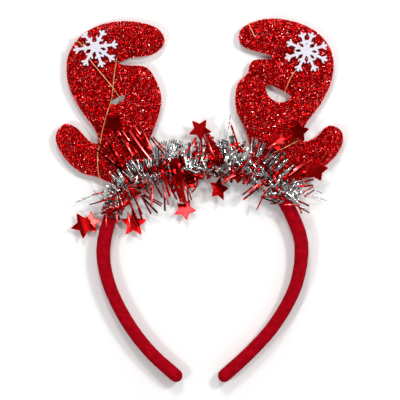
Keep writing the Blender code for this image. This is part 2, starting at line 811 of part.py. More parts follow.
def main():
    for old in list(bpy.data.objects):
        bpy.data.objects.remove(old)
    headband()
    knit = material("metallic_knit", KNIT_RED, 0.45, 0.4)
    spaces = [
        antler("antler_left", LEFT_ANTLER_FOOT, -1, LEFT_ANTLER, LEFT_HOLE, LEFT_CREASE, knit),
        antler("antler_right", RIGHT_ANTLER_FOOT, 1, RIGHT_ANTLER, RIGHT_HOLE, RIGHT_CREASE, knit),
    ]
    felt = material("felt", FELT_WHITE, 0.9, 0.0)
    snowflake("snowflake_left", LEFT_ANTLER_FOOT, -1, LEFT_SNOWFLAKE_AT, LEFT_ARMS, felt)
    snowflake("snowflake_right", RIGHT_ANTLER_FOOT, 1, RIGHT_SNOWFLAKE_AT, RIGHT_ARMS, felt)
    foil = material("star_foil", FOIL_RED, 0.2, 1.0)
    spaces += [free_star(*row, foil) for row in FREE_STARS]
    spaces += [resting_star(*row, foil) for row in RESTING_STARS]
    garland(spaces)
    for helper in list(bpy.data.objects):
        if helper.name.endswith("_space"):
            bpy.data.objects.remove(helper)


main()
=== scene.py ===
import math

import bpy
import numpy as np
from mathutils import Matrix, Vector
from mathutils.bvhtree import BVHTree


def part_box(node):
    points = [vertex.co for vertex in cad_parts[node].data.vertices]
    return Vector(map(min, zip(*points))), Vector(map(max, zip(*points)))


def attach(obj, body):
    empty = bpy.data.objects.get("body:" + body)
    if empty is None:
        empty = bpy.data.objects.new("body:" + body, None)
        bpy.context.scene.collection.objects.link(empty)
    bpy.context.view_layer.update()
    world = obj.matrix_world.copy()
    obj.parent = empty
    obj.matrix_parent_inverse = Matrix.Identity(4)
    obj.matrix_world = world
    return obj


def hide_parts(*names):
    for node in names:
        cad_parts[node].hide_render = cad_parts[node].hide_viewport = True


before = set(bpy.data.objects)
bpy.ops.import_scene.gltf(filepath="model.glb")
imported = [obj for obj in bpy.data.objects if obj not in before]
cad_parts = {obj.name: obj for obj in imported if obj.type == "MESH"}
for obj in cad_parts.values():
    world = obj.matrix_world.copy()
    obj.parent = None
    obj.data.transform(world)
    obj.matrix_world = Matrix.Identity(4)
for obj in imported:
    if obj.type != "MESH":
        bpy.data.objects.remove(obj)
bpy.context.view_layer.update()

# The photograph: the size of one pixel, and the pixel that lies over the frame's origin
PIXEL = 0.00065
PHOTO_SIDE = 400
ORIGIN_PIXEL = (200.0, 200.9)

# The camera looks straight down. At the focus height one pixel of the render is one of the photograph.
FOCUS_HEIGHT = 0.005
CAMERA_DISTANCE = 1.60
SENSOR = 0.036

MM = 0.001
BAND_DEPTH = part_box("headband")[1].z


# Places, faces

def at_pixel(x, y):
    """Place on the floor plan of a pixel of the photograph."""
    return np.array([(x - ORIGIN_PIXEL[0]) * PIXEL, (ORIGIN_PIXEL[1] - y) * PIXEL])


def unit(vectors):
    return vectors / np.linalg.norm(vectors, axis=-1, keepdims=True)


def in_plane(angle):
    """The direction in the floor plan at an angle in radians from +X."""
    return np.array([math.cos(angle), math.sin(angle)])


def ring_faces(rings, around):
    """The faces between closed rings of points that follow one another."""
    faces = []
    for a in range((rings - 1) * around):
        b = a - a % around + (a + 1) % around
        faces.append((a, b, b + around, a + around))
    return faces


def append_body(points, faces, more_points, more_faces):
    faces.extend([len(points) + i for i in face] for face in more_faces)
    points.extend(more_points)


def surface_tree(*names):
    """The surfaces of some CAD nodes, to be probed with rays."""
    points, faces = [], []
    for name in names:
        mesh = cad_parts[name].data
        append_body(points, faces, [tuple(v.co) for v in mesh.vertices], [p.vertices for p in mesh.polygons])
    return BVHTree.FromPolygons(points, faces)


ANTLERS = surface_tree("antler_left", "antler_right")
BAND = surface_tree("headband")
TOPS = surface_tree("antler_left", "antler_right", "star_2", "star_7", "star_8", "star_9")
# Where rays start above the floor, or outside the band
PROBE_HEIGHT = 0.1
PROBE_OUTSIDE = 0.3
# The band is probed all round from inside the arch, this share of its height up
HEART_SHARE = 0.56
SWEEP_DEGREES = np.linspace(260, -80, 341)
LINE_POINTS = 241


def height_under(x, y, tree):
    """Height of the highest surface of a tree under a place, or None."""
    hit = tree.ray_cast(Vector((x, y, PROBE_HEIGHT)), Vector((0, 0, -1)))[0]
    return hit.z if hit else None


def evenly(line, count):
    """Points at even distances along a line of points."""
    lengths = np.concatenate([[0], np.cumsum(np.linalg.norm(np.diff(line, axis=0), axis=1))])
    at = np.linspace(0, lengths[-1], count)
    return np.stack([np.interp(at, lengths, line[:, k]) for k in range(line.shape[1])], axis=1)


def band_middle_line():
    """Even points on the band's middle line, from the left tip to the right."""
    low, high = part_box("headband")
    heart = Vector(((low.x + high.x) / 2, low.y + HEART_SHARE * (high.y - low.y), BAND_DEPTH / 2))
    line = []
    for degrees in SWEEP_DEGREES:
        heading = Vector((*in_plane(math.radians(degrees)), 0))
        inner = BAND.ray_cast(heart, heading)[0]
        outer = BAND.ray_cast(heart + heading * PROBE_OUTSIDE, -heading)[0]
        if inner and outer:
            line.append(((inner + outer) / 2)[:2])
    return evenly(np.array(line), LINE_POINTS)


LINE = band_middle_line()
LINE_LENGTH = np.linalg.norm(LINE[1] - LINE[0]) * (len(LINE) - 1)


def band_at(share):
    """Middle point, direction and outward normal of the band at a share of its length."""
    at = np.clip(share, 0, 1) * (len(LINE) - 1)
    index = np.arange(len(LINE))
    point = np.array([np.interp(at, index, LINE[:, k]) for k in (0, 1)])
    along = unit(LINE[min(int(at) + 4, len(LINE) - 1)] - LINE[max(int(at) - 3, 0)])
    return point, along, np.array([-along[1], along[0]])


def share_near(x, y):
    """Share of the band's length next to a pixel of the photograph."""
    return np.linalg.norm(LINE - at_pixel(x, y), axis=1).argmin() / (len(LINE) - 1)


TINSEL_START = share_near(106, 214)
TINSEL_END = share_near(290, 196)


# Objects

def placed(name, data):
    made = bpy.data.objects.new(name, data)
    bpy.context.scene.collection.objects.link(made)
    return made


def object_of(name, mesh, finish):
    made = placed(name, mesh)
    mesh.materials.clear()
    mesh.materials.append(finish)
    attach(made, "root")
    return made


def mesh_of(name, points, faces, smooth=True):
    mesh = bpy.data.meshes.new(name)
    mesh.from_pydata([tuple(p) for p in points], [], faces)
    mesh.validate()
    mesh.update()
    if smooth:
        mesh.shade_smooth()
    return mesh


def remeshed(mesh, voxel, smoothing):
    """The mesh in small even facets, its overlaps joined and its edges rounded off."""
    helper = placed(mesh.name, mesh)
    remesh = helper.modifiers.new("Remesh", "REMESH")
    remesh.mode = "VOXEL"
    remesh.voxel_size = voxel
    smooth = helper.modifiers.new("Smooth", "SMOOTH")
    smooth.factor = 0.5
    smooth.iterations = smoothing
    graph = bpy.context.evaluated_depsgraph_get()
    fine = bpy.data.meshes.new_from_object(helper.evaluated_get(graph))
    bpy.data.objects.remove(helper)
    name = mesh.name
    bpy.data.meshes.remove(mesh)
    fine.name = name
    fine.shade_smooth()
    return fine


def fine_mesh(name, node, voxel, smoothing):
    """A remeshed copy of a CAD node's mesh."""
    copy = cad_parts[node].data.copy()
    copy.name = name
    return remeshed(copy, voxel, smoothing)


def mesh_vectors(mesh, key="co"):
    """The places of a mesh's vertices, or with the key normal their normals."""
    values = np.empty(len(mesh.vertices) * 3, np.float32)
    mesh.vertices.foreach_get(key, values)
    return values.reshape(-1, 3).astype(float)


def set_attribute(mesh, name, values):
    """Keeps one value for each vertex, for a material to read."""
    layer = mesh.attributes.new(name, "FLOAT", "POINT")
    layer.data.foreach_set("value", np.array(values, np.float32))


def move_points(mesh, points):
    mesh.vertices.foreach_set("co", points.astype(np.float32).ravel())
    mesh.update()


# Materials

def node(tree, kind, inputs=None, **settings):
    """A shader node with its settings. An input is a value, or a socket to link from."""
    made = tree.nodes.new("ShaderNode" + kind)
    for key, value in settings.items():
        setattr(made, key, value)
    for key, value in (inputs or {}).items():
        if isinstance(value, bpy.types.NodeSocket):
            tree.links.new(value, made.inputs[key])
        else:
            made.inputs[key].default_value = value
    return made


def new_material(name, roughness, metallic=0.0, **values):
    made = bpy.data.materials.new(name)
    made.use_nodes = True
    inputs = made.node_tree.nodes["Principled BSDF"].inputs
    inputs["Roughness"].default_value = roughness
    inputs["Metallic"].default_value = metallic
    for key, value in values.items():
        inputs[key.replace("_", " ")].default_value = value
    return made, made.node_tree


def finished(made, colour, height=None, distance=0.0, strength=1.0):
    """Gives a material its colour and, where a height is given, a relief."""
    tree = made.node_tree
    inputs = tree.nodes["Principled BSDF"].inputs
    tree.links.new(colour, inputs["Base Color"])
    if height is not None:
        relief = node(tree, "Bump", {"Height": height, "Distance": distance, "Strength": strength})
        tree.links.new(relief.outputs["Normal"], inputs["Normal"])
    return made


def noise(tree, scale, detail, roughness=0.55):
    place = node(tree, "TexCoord").outputs["Object"]
    inputs = {"Vector": place, "Scale": scale, "Detail": detail, "Roughness": roughness}
    return node(tree, "TexNoise", inputs).outputs["Fac"]


def ramp(tree, value, stops):
    """A colour ramp. Stops are (place, colour)."""
    made = node(tree, "ValToRGB", {"Fac": value})
    elements = made.color_ramp.elements
    while len(elements) < len(stops):
        elements.new(0.5)
    for element, (place, colour) in zip(elements, stops):
        element.position = place
        element.color = (*colour, 1)
    return made.outputs["Color"]


def multiplied(tree, first, second):
    """The product of two colours."""
    inputs = {0: 1.0, 6: first, 7: second}
    return node(tree, "Mix", inputs, data_type="RGBA", blend_type="MULTIPLY").outputs[2]


def velvet_material():
    made, tree = new_material(
        "velvet", 1.0, Sheen_Weight=0.12, Sheen_Roughness=0.35, Sheen_Tint=(1.0, 0.10, 0.12, 1),
        Specular_IOR_Level=0.03,
    )
    patches = noise(tree, 260, 4, 0.6)
    nap = noise(tree, 2600, 2, 0.6)
    colour = ramp(tree, patches, [(0.30, (0.24, 0.0006, 0.004)), (0.72, (0.44, 0.0015, 0.010))])
    fleck = ramp(tree, nap, [(0.30, (0.72, 0.72, 0.72)), (0.75, (1.15, 1.15, 1.15))])
    return finished(made, multiplied(tree, colour, fleck), nap, 0.12 * MM, 0.7)


def knit_ground_material():
    made, tree = new_material("knit_ground", 0.8, Specular_IOR_Level=0.0)
    gaps = noise(tree, 900, 2)
    colour = ramp(tree, gaps, [(0.35, (0.06, 0.0002, 0.0005)), (0.7, (0.22, 0.0006, 0.0012))])
    return finished(made, colour, gaps, 0.3 * MM)


def lurex_material():
    """Metallic yarn. The attribute holds one random value for each stitch."""
    made, tree = new_material("lurex", 0.20, 1.0)
    stitch = node(tree, "Attribute", attribute_name="stitch").outputs["Fac"]
    stops = [
        (0.00, (0.13, 0.0004, 0.0007)),
        (0.25, (0.82, 0.0022, 0.0028)),
        (0.55, (1.00, 0.010, 0.012)),
        (0.82, (1.00, 0.05, 0.055)),
        (0.95, (1.0, 0.28, 0.26)),
    ]
    return finished(made, ramp(tree, stitch, stops), noise(tree, 3500, 1), 0.08 * MM, 0.5)


def felt_material():
    made, tree = new_material("felt", 0.95, Sheen_Weight=0.2, Sheen_Roughness=0.5)
    fibres = noise(tree, 1800, 5, 0.7)
    colour = ramp(tree, fibres, [(0.30, (0.52, 0.50, 0.56)), (0.65, (0.73, 0.715, 0.79))])
    return finished(made, colour, fibres, 0.15 * MM, 0.8)


# Foils. Columns: darkest and lightest colour, roughness, depth of the crinkles.
FOILS = {
    "silver_foil": ((0.62, 0.605, 0.595), (0.88, 0.865, 0.855), 0.12, 0.20 * MM),
    "red_foil": ((0.60, 0.004, 0.005), (0.90, 0.010, 0.010), 0.10, 0.06 * MM),
    # The strips that mirror a soft box get a red foil painted paler than the rest: a painted highlight that
    # whitens their real glints and tints the whole strip.
    "red_foil_painted_highlight": ((0.85, 0.050, 0.046), (1.0, 0.075, 0.070), 0.07, 0.006 * MM),
    "star_foil": ((0.60, 0.0045, 0.006), (0.80, 0.007, 0.008), 0.20, 0.05 * MM),
    # Star 11 leans to mirror a soft box, and its foil is painted paler than the other stars': a painted
    # highlight on top of the real reflection.
    "star_foil_painted_highlight": ((0.92, 0.034, 0.029), (1.0, 0.048, 0.043), 0.24, 0.05 * MM),
}
TONE_POWER = 1.4


def foil_material(name, toned=False):
    """Metallised film. Toned foil is darkened by the tone of each strip, kept as an attribute."""
    dark, light, roughness, crinkle = FOILS[name]
    made, tree = new_material(name, roughness, 1.0)
    colour = ramp(tree, noise(tree, 220, 2), [(0.3, dark), (0.7, light)])
    if toned:
        tone = node(tree, "Attribute", attribute_name="tone").outputs["Fac"]
        tone = node(tree, "Math", {0: tone, 1: TONE_POWER}, operation="POWER").outputs[0]
        colour = multiplied(tree, colour, tone)
    return finished(made, colour, noise(tree, 700, 2), crinkle)


def thread_material(name, dark, light, metallic):
    made, tree = new_material(name, 0.4, metallic)
    twist = node(tree, "TexWave", {"Scale": 1400.0, "Distortion": 2.0}, bands_direction="DIAGONAL")
    return finished(made, ramp(tree, twist.outputs["Fac"], [(0.2, dark), (0.8, light)]))


def floor_material():
    made, tree = new_material("white_floor", 0.7, Specular_IOR_Level=0.1)
    colour = ramp(tree, noise(tree, 8, 2), [(0.3, (0.86, 0.86, 0.86)), (0.7, (0.88, 0.88, 0.88))])
    return finished(made, colour)


# Band

BAND_FINENESS = 0.6 * MM


def velvet_band(finish):
    mesh = fine_mesh("velvet_band", "headband", BAND_FINENESS, 8)
    made = object_of("velvet_band", mesh, finish)
    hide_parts("headband")


# Antlers

FOAM_FINENESS = 0.8 * MM
FOAM_INSET = 0.45 * MM
STITCH_GAP = 0.645 * MM
STITCH_HALF_LENGTH = 0.52 * MM
STITCH_HALF_WIDTH = 0.26 * MM
STITCH_HALF_HEIGHT = 0.37 * MM
# The flat top of a stitch, as a share of its foot
STITCH_TOP = 0.62
# The direction that stitches run in, its spread, and how far they tip, in radians
STITCH_HEADING = 0.9
STITCH_SPREAD = 0.8
STITCH_TIP = 0.40
STITCH_SIZES = (0.80, 1.20)
ABOVE_FLOOR = 0.05 * MM
# Places tried for each square of the gap between stitches
TRIES = 4


def random_places(mesh, rng):
    """Places all over a mesh, with its normals there."""
    mesh.calc_loop_triangles()
    tris = np.empty(len(mesh.loop_triangles) * 3, np.int32)
    mesh.loop_triangles.foreach_get("vertices", tris)
    corners = mesh_vectors(mesh)[tris.reshape(-1, 3)]
    cross = np.cross(corners[:, 1] - corners[:, 0], corners[:, 2] - corners[:, 0])
    area = np.linalg.norm(cross, axis=1) / 2
    count = int(area.sum() / STITCH_GAP**2 * TRIES)
    chosen = rng.choice(len(area), count, p=area / area.sum())
    u, v = rng.random((2, count))
    flip = u + v > 1
    u[flip], v[flip] = 1 - u[flip], 1 - v[flip]
    a, b, c = corners[chosen].transpose(1, 0, 2)
    return a + (b - a) * u[:, None] + (c - a) * v[:, None], unit(cross[chosen])


def spaced(places):
    """Numbers of the places that stay when each one too near to an earlier one goes."""
    taken, kept = {}, []
    around = [(i, j, k) for i in (-1, 0, 1) for j in (-1, 0, 1) for k in (-1, 0, 1)]
    for n, cell in enumerate(map(tuple, np.floor(places / STITCH_GAP).astype(int))):
        near = (taken.get((cell[0] + i, cell[1] + j, cell[2] + k)) for i, j, k in around)
        others = [m for group in near if group for m in group]
        if others and (((places[others] - places[n]) ** 2).sum(axis=1) < STITCH_GAP**2).any():
            continue
        taken.setdefault(cell, []).append(n)
        kept.append(n)
    return kept


def stitches(name, places, normals, rng):
    """A long bead with a flat top for each stitch, standing out of the ground and tipped at random."""
    count = len(places)
    angle = rng.normal(STITCH_HEADING, STITCH_SPREAD, count)
    heading = np.stack([np.cos(angle), np.sin(angle), rng.normal(0, 0.2, count)], axis=1)
    along = unit(heading - (heading * normals).sum(1)[:, None] * normals)
    tip = rng.normal(0, STITCH_TIP, (count, 2))
    up = unit(normals + along * tip[:, :1] + np.cross(normals, along) * tip[:, 1:])
    along = unit(along - (along * up).sum(1)[:, None] * up)
    across = np.cross(up, along)
    size = rng.uniform(*STITCH_SIZES, (count, 1))
    corners = []
    for share, lift in ((1.0, -1.0), (STITCH_TOP, 1.0)):
        for u, v in ((1, 1), (-1, 1), (-1, -1), (1, -1)):
            flat = along * u * STITCH_HALF_LENGTH * share + across * v * STITCH_HALF_WIDTH * share
            corners.append(places + (flat + up * lift * STITCH_HALF_HEIGHT) * size)
    points = np.stack(corners, axis=1).reshape(-1, 3)
    points[:, 2] = np.maximum(points[:, 2], ABOVE_FLOOR)
    template = [(3, 2, 1, 0), (4, 5, 6, 7)] + ring_faces(2, 4)
    faces = (np.arange(count)[:, None, None] * 8 + np.array(template)[None]).reshape(-1, 4)
    mesh = mesh_of(name, points, faces.tolist(), smooth=False)
    set_attribute(mesh, "stitch", np.repeat(rng.random(count), 8))
    return mesh


def antler(side, ground_finish, yarn_finish, rng):
    """A foam body a little inside the CAD antler, and the knit that covers it."""
    name = f"antler_{side}"
    base = fine_mesh(f"{name}_foam", name, FOAM_FINENESS, 3)
    move_points(base, mesh_vectors(base) - mesh_vectors(base, "normal") * FOAM_INSET)
    foam = object_of(f"{name}_foam", base, ground_finish)
    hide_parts(name)
    places, normals = random_places(base, rng)
    kept = spaced(places)
    mesh = stitches(f"{name}_knit", places[kept], normals[kept], rng)
    object_of(f"{name}_knit", mesh, yarn_finish)


# Snowflakes. Their middles are pixels of the photograph. Arms have columns: direction in degrees from +X,
# and length as a share of the radius.

SNOWFLAKE_RADIUS = 14.1 * MM
SNOWFLAKE_MIDDLES = {"left": (95.6, 47.6), "right": (306.0, 51.6)}
SNOWFLAKES = {
    "left": [(7, 1.02), (62, 0.84), (131, 0.84), (188, 0.99), (238, 0.98), (290, 0.97), (326, 1.05)],
    "right": [
        (16, 0.97), (71, 0.87), (105, 0.86), (155, 0.97), (199, 1.02), (246, 1.0), (294, 1.0), (335, 1.03),
    ],
}
# The strokes of one arm, mirrored about its middle where they lean. Columns: start and end along the arm,
# how far across the end is, and the half width at either end, all as shares of the radius.
ARM_STROKES = [
    (0.00, 0.80, 0.00, 0.082, 0.056),
    (0.80, 0.97, 0.00, 0.056, 0.058),
    (0.38, 0.51, 0.15, 0.046, 0.042),
    (0.75, 0.90, 0.15, 0.042, 0.044),
]
HUB_RADIUS = 0.23
# Degrees between the points of a bar's round ends
ROUND_STEP = 30
FELT_FINENESS = 0.21 * MM


def stroke(start, end, half_start, half_end, low, high):
    """A closed bar with round ends in the plane, as points and faces."""
    along = end - start
    turn = math.atan2(along[1], along[0])
    rim = []
    for middle, half, first in ((start, half_start, 90), (end, half_end, -90)):
        for degrees in range(first, first + 181, ROUND_STEP):
            rim.append(middle + half * in_plane(turn + math.radians(degrees)))
    count = len(rim)
    points = [(x, y, z) for z in (low, high) for x, y in rim]
    faces = [list(range(count))[::-1], list(range(count, 2 * count))]
    return points, faces + ring_faces(2, count)


def snowflake(side, finish):
    name = f"snowflake_{side}"
    low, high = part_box(name)
    middle = at_pixel(*SNOWFLAKE_MIDDLES[side])
    points, faces = [], []

    def add(start, end, half_start, half_end):
        bar = stroke(middle + start, middle + end, half_start, half_end, low.z, high.z)
        append_body(points, faces, *bar)

    hub = HUB_RADIUS * SNOWFLAKE_RADIUS
    add(np.array([-0.1, 0.0]) * hub, np.array([0.1, 0.0]) * hub, hub, hub)
    for direction, length in SNOWFLAKES[side]:
        reach = length * SNOWFLAKE_RADIUS
        out = in_plane(math.radians(direction))
        left = np.array([-out[1], out[0]])
        for start, end, across, half_start, half_end in ARM_STROKES:
            for mirror in {1, -1} if across else {1}:
                foot = out * start * reach
                tip = out * end * reach + left * mirror * across * SNOWFLAKE_RADIUS
                add(foot, tip, half_start * SNOWFLAKE_RADIUS, half_end * SNOWFLAKE_RADIUS)
    mesh = remeshed(mesh_of(f"{name}_felt", points, faces), FELT_FINENESS, 2)
    dent(mesh, middle, high.z)
    made = object_of(f"{name}_felt", mesh, finish)
    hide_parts(name)


def dent(mesh, middle, top):
    """Presses a shallow crease across the hub of a snowflake and lets its arm ends lie a little lower."""
    points = mesh_vectors(mesh)
    from_middle = points[:, :2] - middle
    crease = np.abs(from_middle @ np.array([0.71, -0.71]))
    near = np.exp(-(np.linalg.norm(from_middle, axis=1) / (4 * MM)) ** 2)
    depth = 0.35 * MM * np.exp(-(crease / (0.6 * MM)) ** 2) * near
    depth += 0.30 * MM * np.clip(np.linalg.norm(from_middle, axis=1) / SNOWFLAKE_RADIUS, 0, 1) ** 2
    points[:, 2] -= depth * (points[:, 2] > top - 0.9 * MM)
    move_points(mesh, points)


# Foil

# The studio's soft boxes, which foil mirrors. Columns: where they stand and their side, in metres, and the
# power in watts of the box and of the lamp in its middle.
SOFT_BOXES = [
    ((0.55, 0.35, 0.80), 0.30, 1.4, 2.8),
    ((-0.10, 0.65, 0.80), 0.26, 0.9, 1.9),
    ((-0.55, -0.28, 0.80), 0.26, 0.7, 1.7),
]
HOT_SPOT = 0.10
HOT_SPOT_NEARER = 0.97
FOIL_THICKNESS = 0.08 * MM
FOIL_ABOVE_FLOOR = 0.1 * MM
GARLAND_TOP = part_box("garland")[1].z - 0.5 * MM
# Cross sections of a strip. Columns: place across and rise, as shares of the half width and of the ridge.
ARC = [(-1, 0), (-0.5, 0.75), (0, 1), (0.5, 0.75), (1, 0)]
FOLD = [(-1, 0), (0, 1), (1, 0)]
RIDGE = 0.12
# Edges sharper than this stay sharp where a strip is shaded smooth
EDGE_ANGLE = math.radians(50)


class Strips:
    """Gathers flat foil strips, each a closed body with a low ridge along its middle, into one mesh."""

    def __init__(self):
        self.points, self.faces, self.tones = [], [], []

    def add(self, path, width, roll=0.0, tone=1.0, ridge=RIDGE, profile=ARC):
        """A strip along a path of points. Roll turns its face about the path, in radians, from facing up."""
        path[:, 2] = np.minimum(path[:, 2], GARLAND_TOP)
        count = len(path)
        along = unit(np.gradient(path, axis=0) + 1e-9)
        up = unit(np.array([0.0, 0.0, 1.0]) - along[:, 2:] * along + 1e-6)
        side = np.cross(along, up)
        roll = np.broadcast_to(roll, count)[:, None]
        face = up * np.cos(roll) + side * np.sin(roll)
        side = np.cross(along, face)
        thick = face * FOIL_THICKNESS / 2
        upper = [path + side * across * width / 2 + face * rise * ridge * width for across, rise in profile]
        rings = np.stack([line - thick for line in upper] + [line + thick for line in upper[::-1]], axis=1)
        sunk = FOIL_ABOVE_FLOOR - rings[:, :, 2].min(axis=1)
        rings[:, :, 2] += np.maximum(sunk, 0)[:, None]
        around = 2 * len(profile)
        faces, last = ring_faces(count, around), around * (count - 1)
        for j in range(len(profile) - 1):
            k = around - 1 - j
            faces += [(j, k, k - 1, j + 1), (last + j, last + j + 1, last + k - 1, last + k)]
        append_body(self.points, self.faces, rings.reshape(-1, 3).tolist(), faces)
        self.tones += [tone] * (around * count)

    def made(self, name, finish, slot, smooth=False):
        mesh = mesh_of(name, self.points, self.faces, smooth)
        if smooth:
            mesh.set_sharp_from_angle(angle=EDGE_ANGLE)
        set_attribute(mesh, "tone", self.tones)
        return object_of(name, mesh, finish)


# How high a strip lies, by its distance from the band's middle line
DROOP_AWAY = np.array([0, 4, 8, 14, 24, 40]) * MM
DROOP_HEIGHT = np.array([15.4, 14.8, 12.6, 9.5, 6.0, 3.0]) * MM
ANTLER_LIFT = 0.9 * MM


def lie(x, y):
    """Height at which a strip of tinsel lies at a place: on the winding, beside it, or on an antler."""
    away = np.linalg.norm(LINE - (x, y), axis=1).min()
    height = np.interp(away, DROOP_AWAY, DROOP_HEIGHT)
    top = height_under(x, y, TOPS)
    return height if top is None else max(height, top + ANTLER_LIFT)


def through(corners, steps):
    """Even points on a smooth curve through some corners."""
    corners = np.array(corners, float)
    if len(corners) == 2:
        return corners[0] + np.linspace(0, 1, steps)[:, None] * (corners[1] - corners[0])
    ends = np.vstack([2 * corners[0] - corners[1], corners, 2 * corners[-1] - corners[-2]])
    curve = []
    for i in range(1, len(ends) - 2):
        a, b, c, d = ends[i - 1:i + 3]
        for t in np.linspace(0, 1, 12, endpoint=i == len(ends) - 3):
            curve.append(0.5 * (2 * b + (c - a) * t + (2 * a - 5 * b + 4 * c - d) * t**2
                                + (3 * b - a - 3 * c + d) * t**3))
    return evenly(np.array(curve), steps)


def laid(corners, steps, lift=0.0, crinkle=0.0, rng=None):
    """A path over what lies under it, through pixels of the photograph."""
    plan = through([at_pixel(x, y) for x, y in corners], steps)
    path = np.array([(x, y, lie(x, y) + lift) for x, y in plan])
    if rng is not None:
        path[:, 2] += np.where(np.arange(steps) % 2, 1, -1) * crinkle * rng.uniform(0.3, 1.0, steps)
    return path


# Stands for the roll that mirrors a soft box
LIT = 90

# Silver bundles, in pixels of the photograph. Columns: root, tip, strips, gap between their tips, width.
FANS = [
    ((112, 196), (103, 200), 3, 2.2, 1.4),
    ((118, 192), (108, 186), 4, 2.2, 1.5),
    ((123, 182), (114, 172), 5, 2.2, 1.7),
    ((133, 177), (125, 167), 4, 2.1, 1.7),
    ((138, 171), (130, 161), 5, 1.9, 1.6),
    ((141, 170), (140, 156), 5, 1.9, 1.5),
    ((150, 168), (148, 157), 3, 2.0, 1.5),
    ((156, 166), (156, 149), 4, 2.4, 2.0),
    ((175, 159), (174, 146), 5, 2.4, 1.8),
    ((188, 158), (188, 143), 5, 2.3, 1.6),
    ((200, 158), (201, 142), 5, 2.3, 1.6),
    ((193, 168), (193, 155), 11, 2.0, 2.1),
    ((222, 158), (221, 142), 3, 3.0, 2.4),
    ((232, 160), (232, 144), 3, 3.0, 2.2),
    ((243, 160), (247, 145), 4, 2.0, 1.5),
    ((252, 157), (255, 140), 4, 1.9, 1.4),
    ((258, 158), (264, 144), 4, 2.0, 1.6),
    ((263, 163), (273, 151), 4, 1.9, 1.6),
    ((268, 167), (282, 153), 4, 1.8, 1.5),
    ((274, 171), (285, 158), 4, 2.0, 1.7),
    ((282, 176), (292, 166), 3, 2.0, 1.5),
    ((290, 186), (304, 182), 4, 2.2, 1.6),
    ((150, 178), (155, 190), 3, 2.2, 1.4),
    ((128, 186), (134, 199), 4, 2.0, 1.5),
    ((118, 196), (120, 209), 4, 2.2, 1.5),
    ((290, 192), (297, 203), 3, 2.0, 1.5),
]
# Thin loops of silver seen on edge. Columns: root, tip, loops, gap between them.
LOOPS = [((164, 157), (163, 141), 4, 2.2), ((173, 157), (173, 139), 4, 2.2), ((181, 156), (181, 140), 2, 2.4)]
# Crumpled foil. Columns: middle, radius, pieces, width.
SILVER_CRUMPLES = [
    ((110, 203), 6, 15, 2.16),
    ((120, 200), 5, 10, 1.92),
    ((120, 188), 9, 30, 2.28),
    ((131, 184), 6, 13, 2.04),
    ((142, 176), 6, 17, 2.28),
    ((148, 186), 6, 9, 1.8),
    ((158, 172), 6, 9, 2.04),
    ((166, 160), 6, 13, 2.28),
    ((177, 150), 5, 7, 2.4),
    ((204, 163), 4, 5, 3.12),
    ((228, 148), 8, 15, 3.6),
    ((226, 161), 9, 22, 3.24),
    ((210, 169), 7, 12, 2.4),
    ((238, 165), 8, 18, 2.64),
    ((250, 168), 8, 20, 2.64),
    ((260, 176), 8, 20, 2.4),
    ((270, 182), 9, 22, 2.64),
    ((282, 187), 8, 18, 2.88),
    ((291, 186), 6, 11, 3.36),
    ((297, 191), 5, 7, 2.16),
]
RED_CRUMPLES = [
    ((211, 146), 4, 14, 2.6),
    ((214, 153), 5, 24, 2.6),
    ((215, 162), 4, 16, 2.3),
    ((239, 147), 4, 12, 2.2),
    ((118, 203), 6, 18, 1.6),
    ((135, 190), 6, 20, 1.6),
    ((126, 197), 6, 14, 1.6),
    ((147, 186), 6, 12, 1.6),
    ((162, 172), 6, 14, 1.8),
    ((176, 186), 7, 16, 2.2),
    ((256, 166), 7, 12, 1.7),
    ((272, 178), 8, 14, 1.7),
    ((294, 178), 6, 14, 1.6),
]
# Single silver strips. Columns: width in pixels, roll in degrees or LIT, tone, pixels on the way.
SILVER_STRIPS = [
    (1.9, LIT, 0.68, (181, 170), (185, 168), (187, 170), (189, 169.4), (196, 172.8), (200, 171.4)),
    (1.7, LIT, 0.68, (196, 169), (200, 168.5), (204, 170.4)),
    (3.2, LIT, 0.68, (203, 161), (205, 165), (206, 168)),
    (0.9, 20, 0.8, (213.4, 138.4), (217.5, 142), (219.2, 147.6)),
    (0.9, 20, 0.8, (211, 140), (215, 144), (217, 150)),
    (0.9, 12, 0.5, (230.5, 115), (228.5, 128), (226, 141)),
    (0.9, LIT, 0.61, (241, 138.6), (244, 143), (244.5, 149)),
    (1.9, 10, 0.6, (284, 195.2), (291, 200), (299.6, 206.2)),
    (1.2, 20, 1.0, (286, 193), (294, 199), (301, 209)),
    (0.8, 12, 0.7, (313.2, 188.7), (321.7, 193.5)),
    (0.8, 12, 0.8, (300, 192), (312, 195.8), (326.2, 200.4)),
    (0.8, 12, 0.9, (298, 206), (309, 210.5)),
    (0.8, 12, 0.5, (100, 193), (86, 198.5), (74, 203)),
    (0.9, 12, 0.8, (104, 199), (98, 196), (94, 190)),
    (0.9, 12, 0.7, (112, 207), (103, 211), (94, 215)),
]
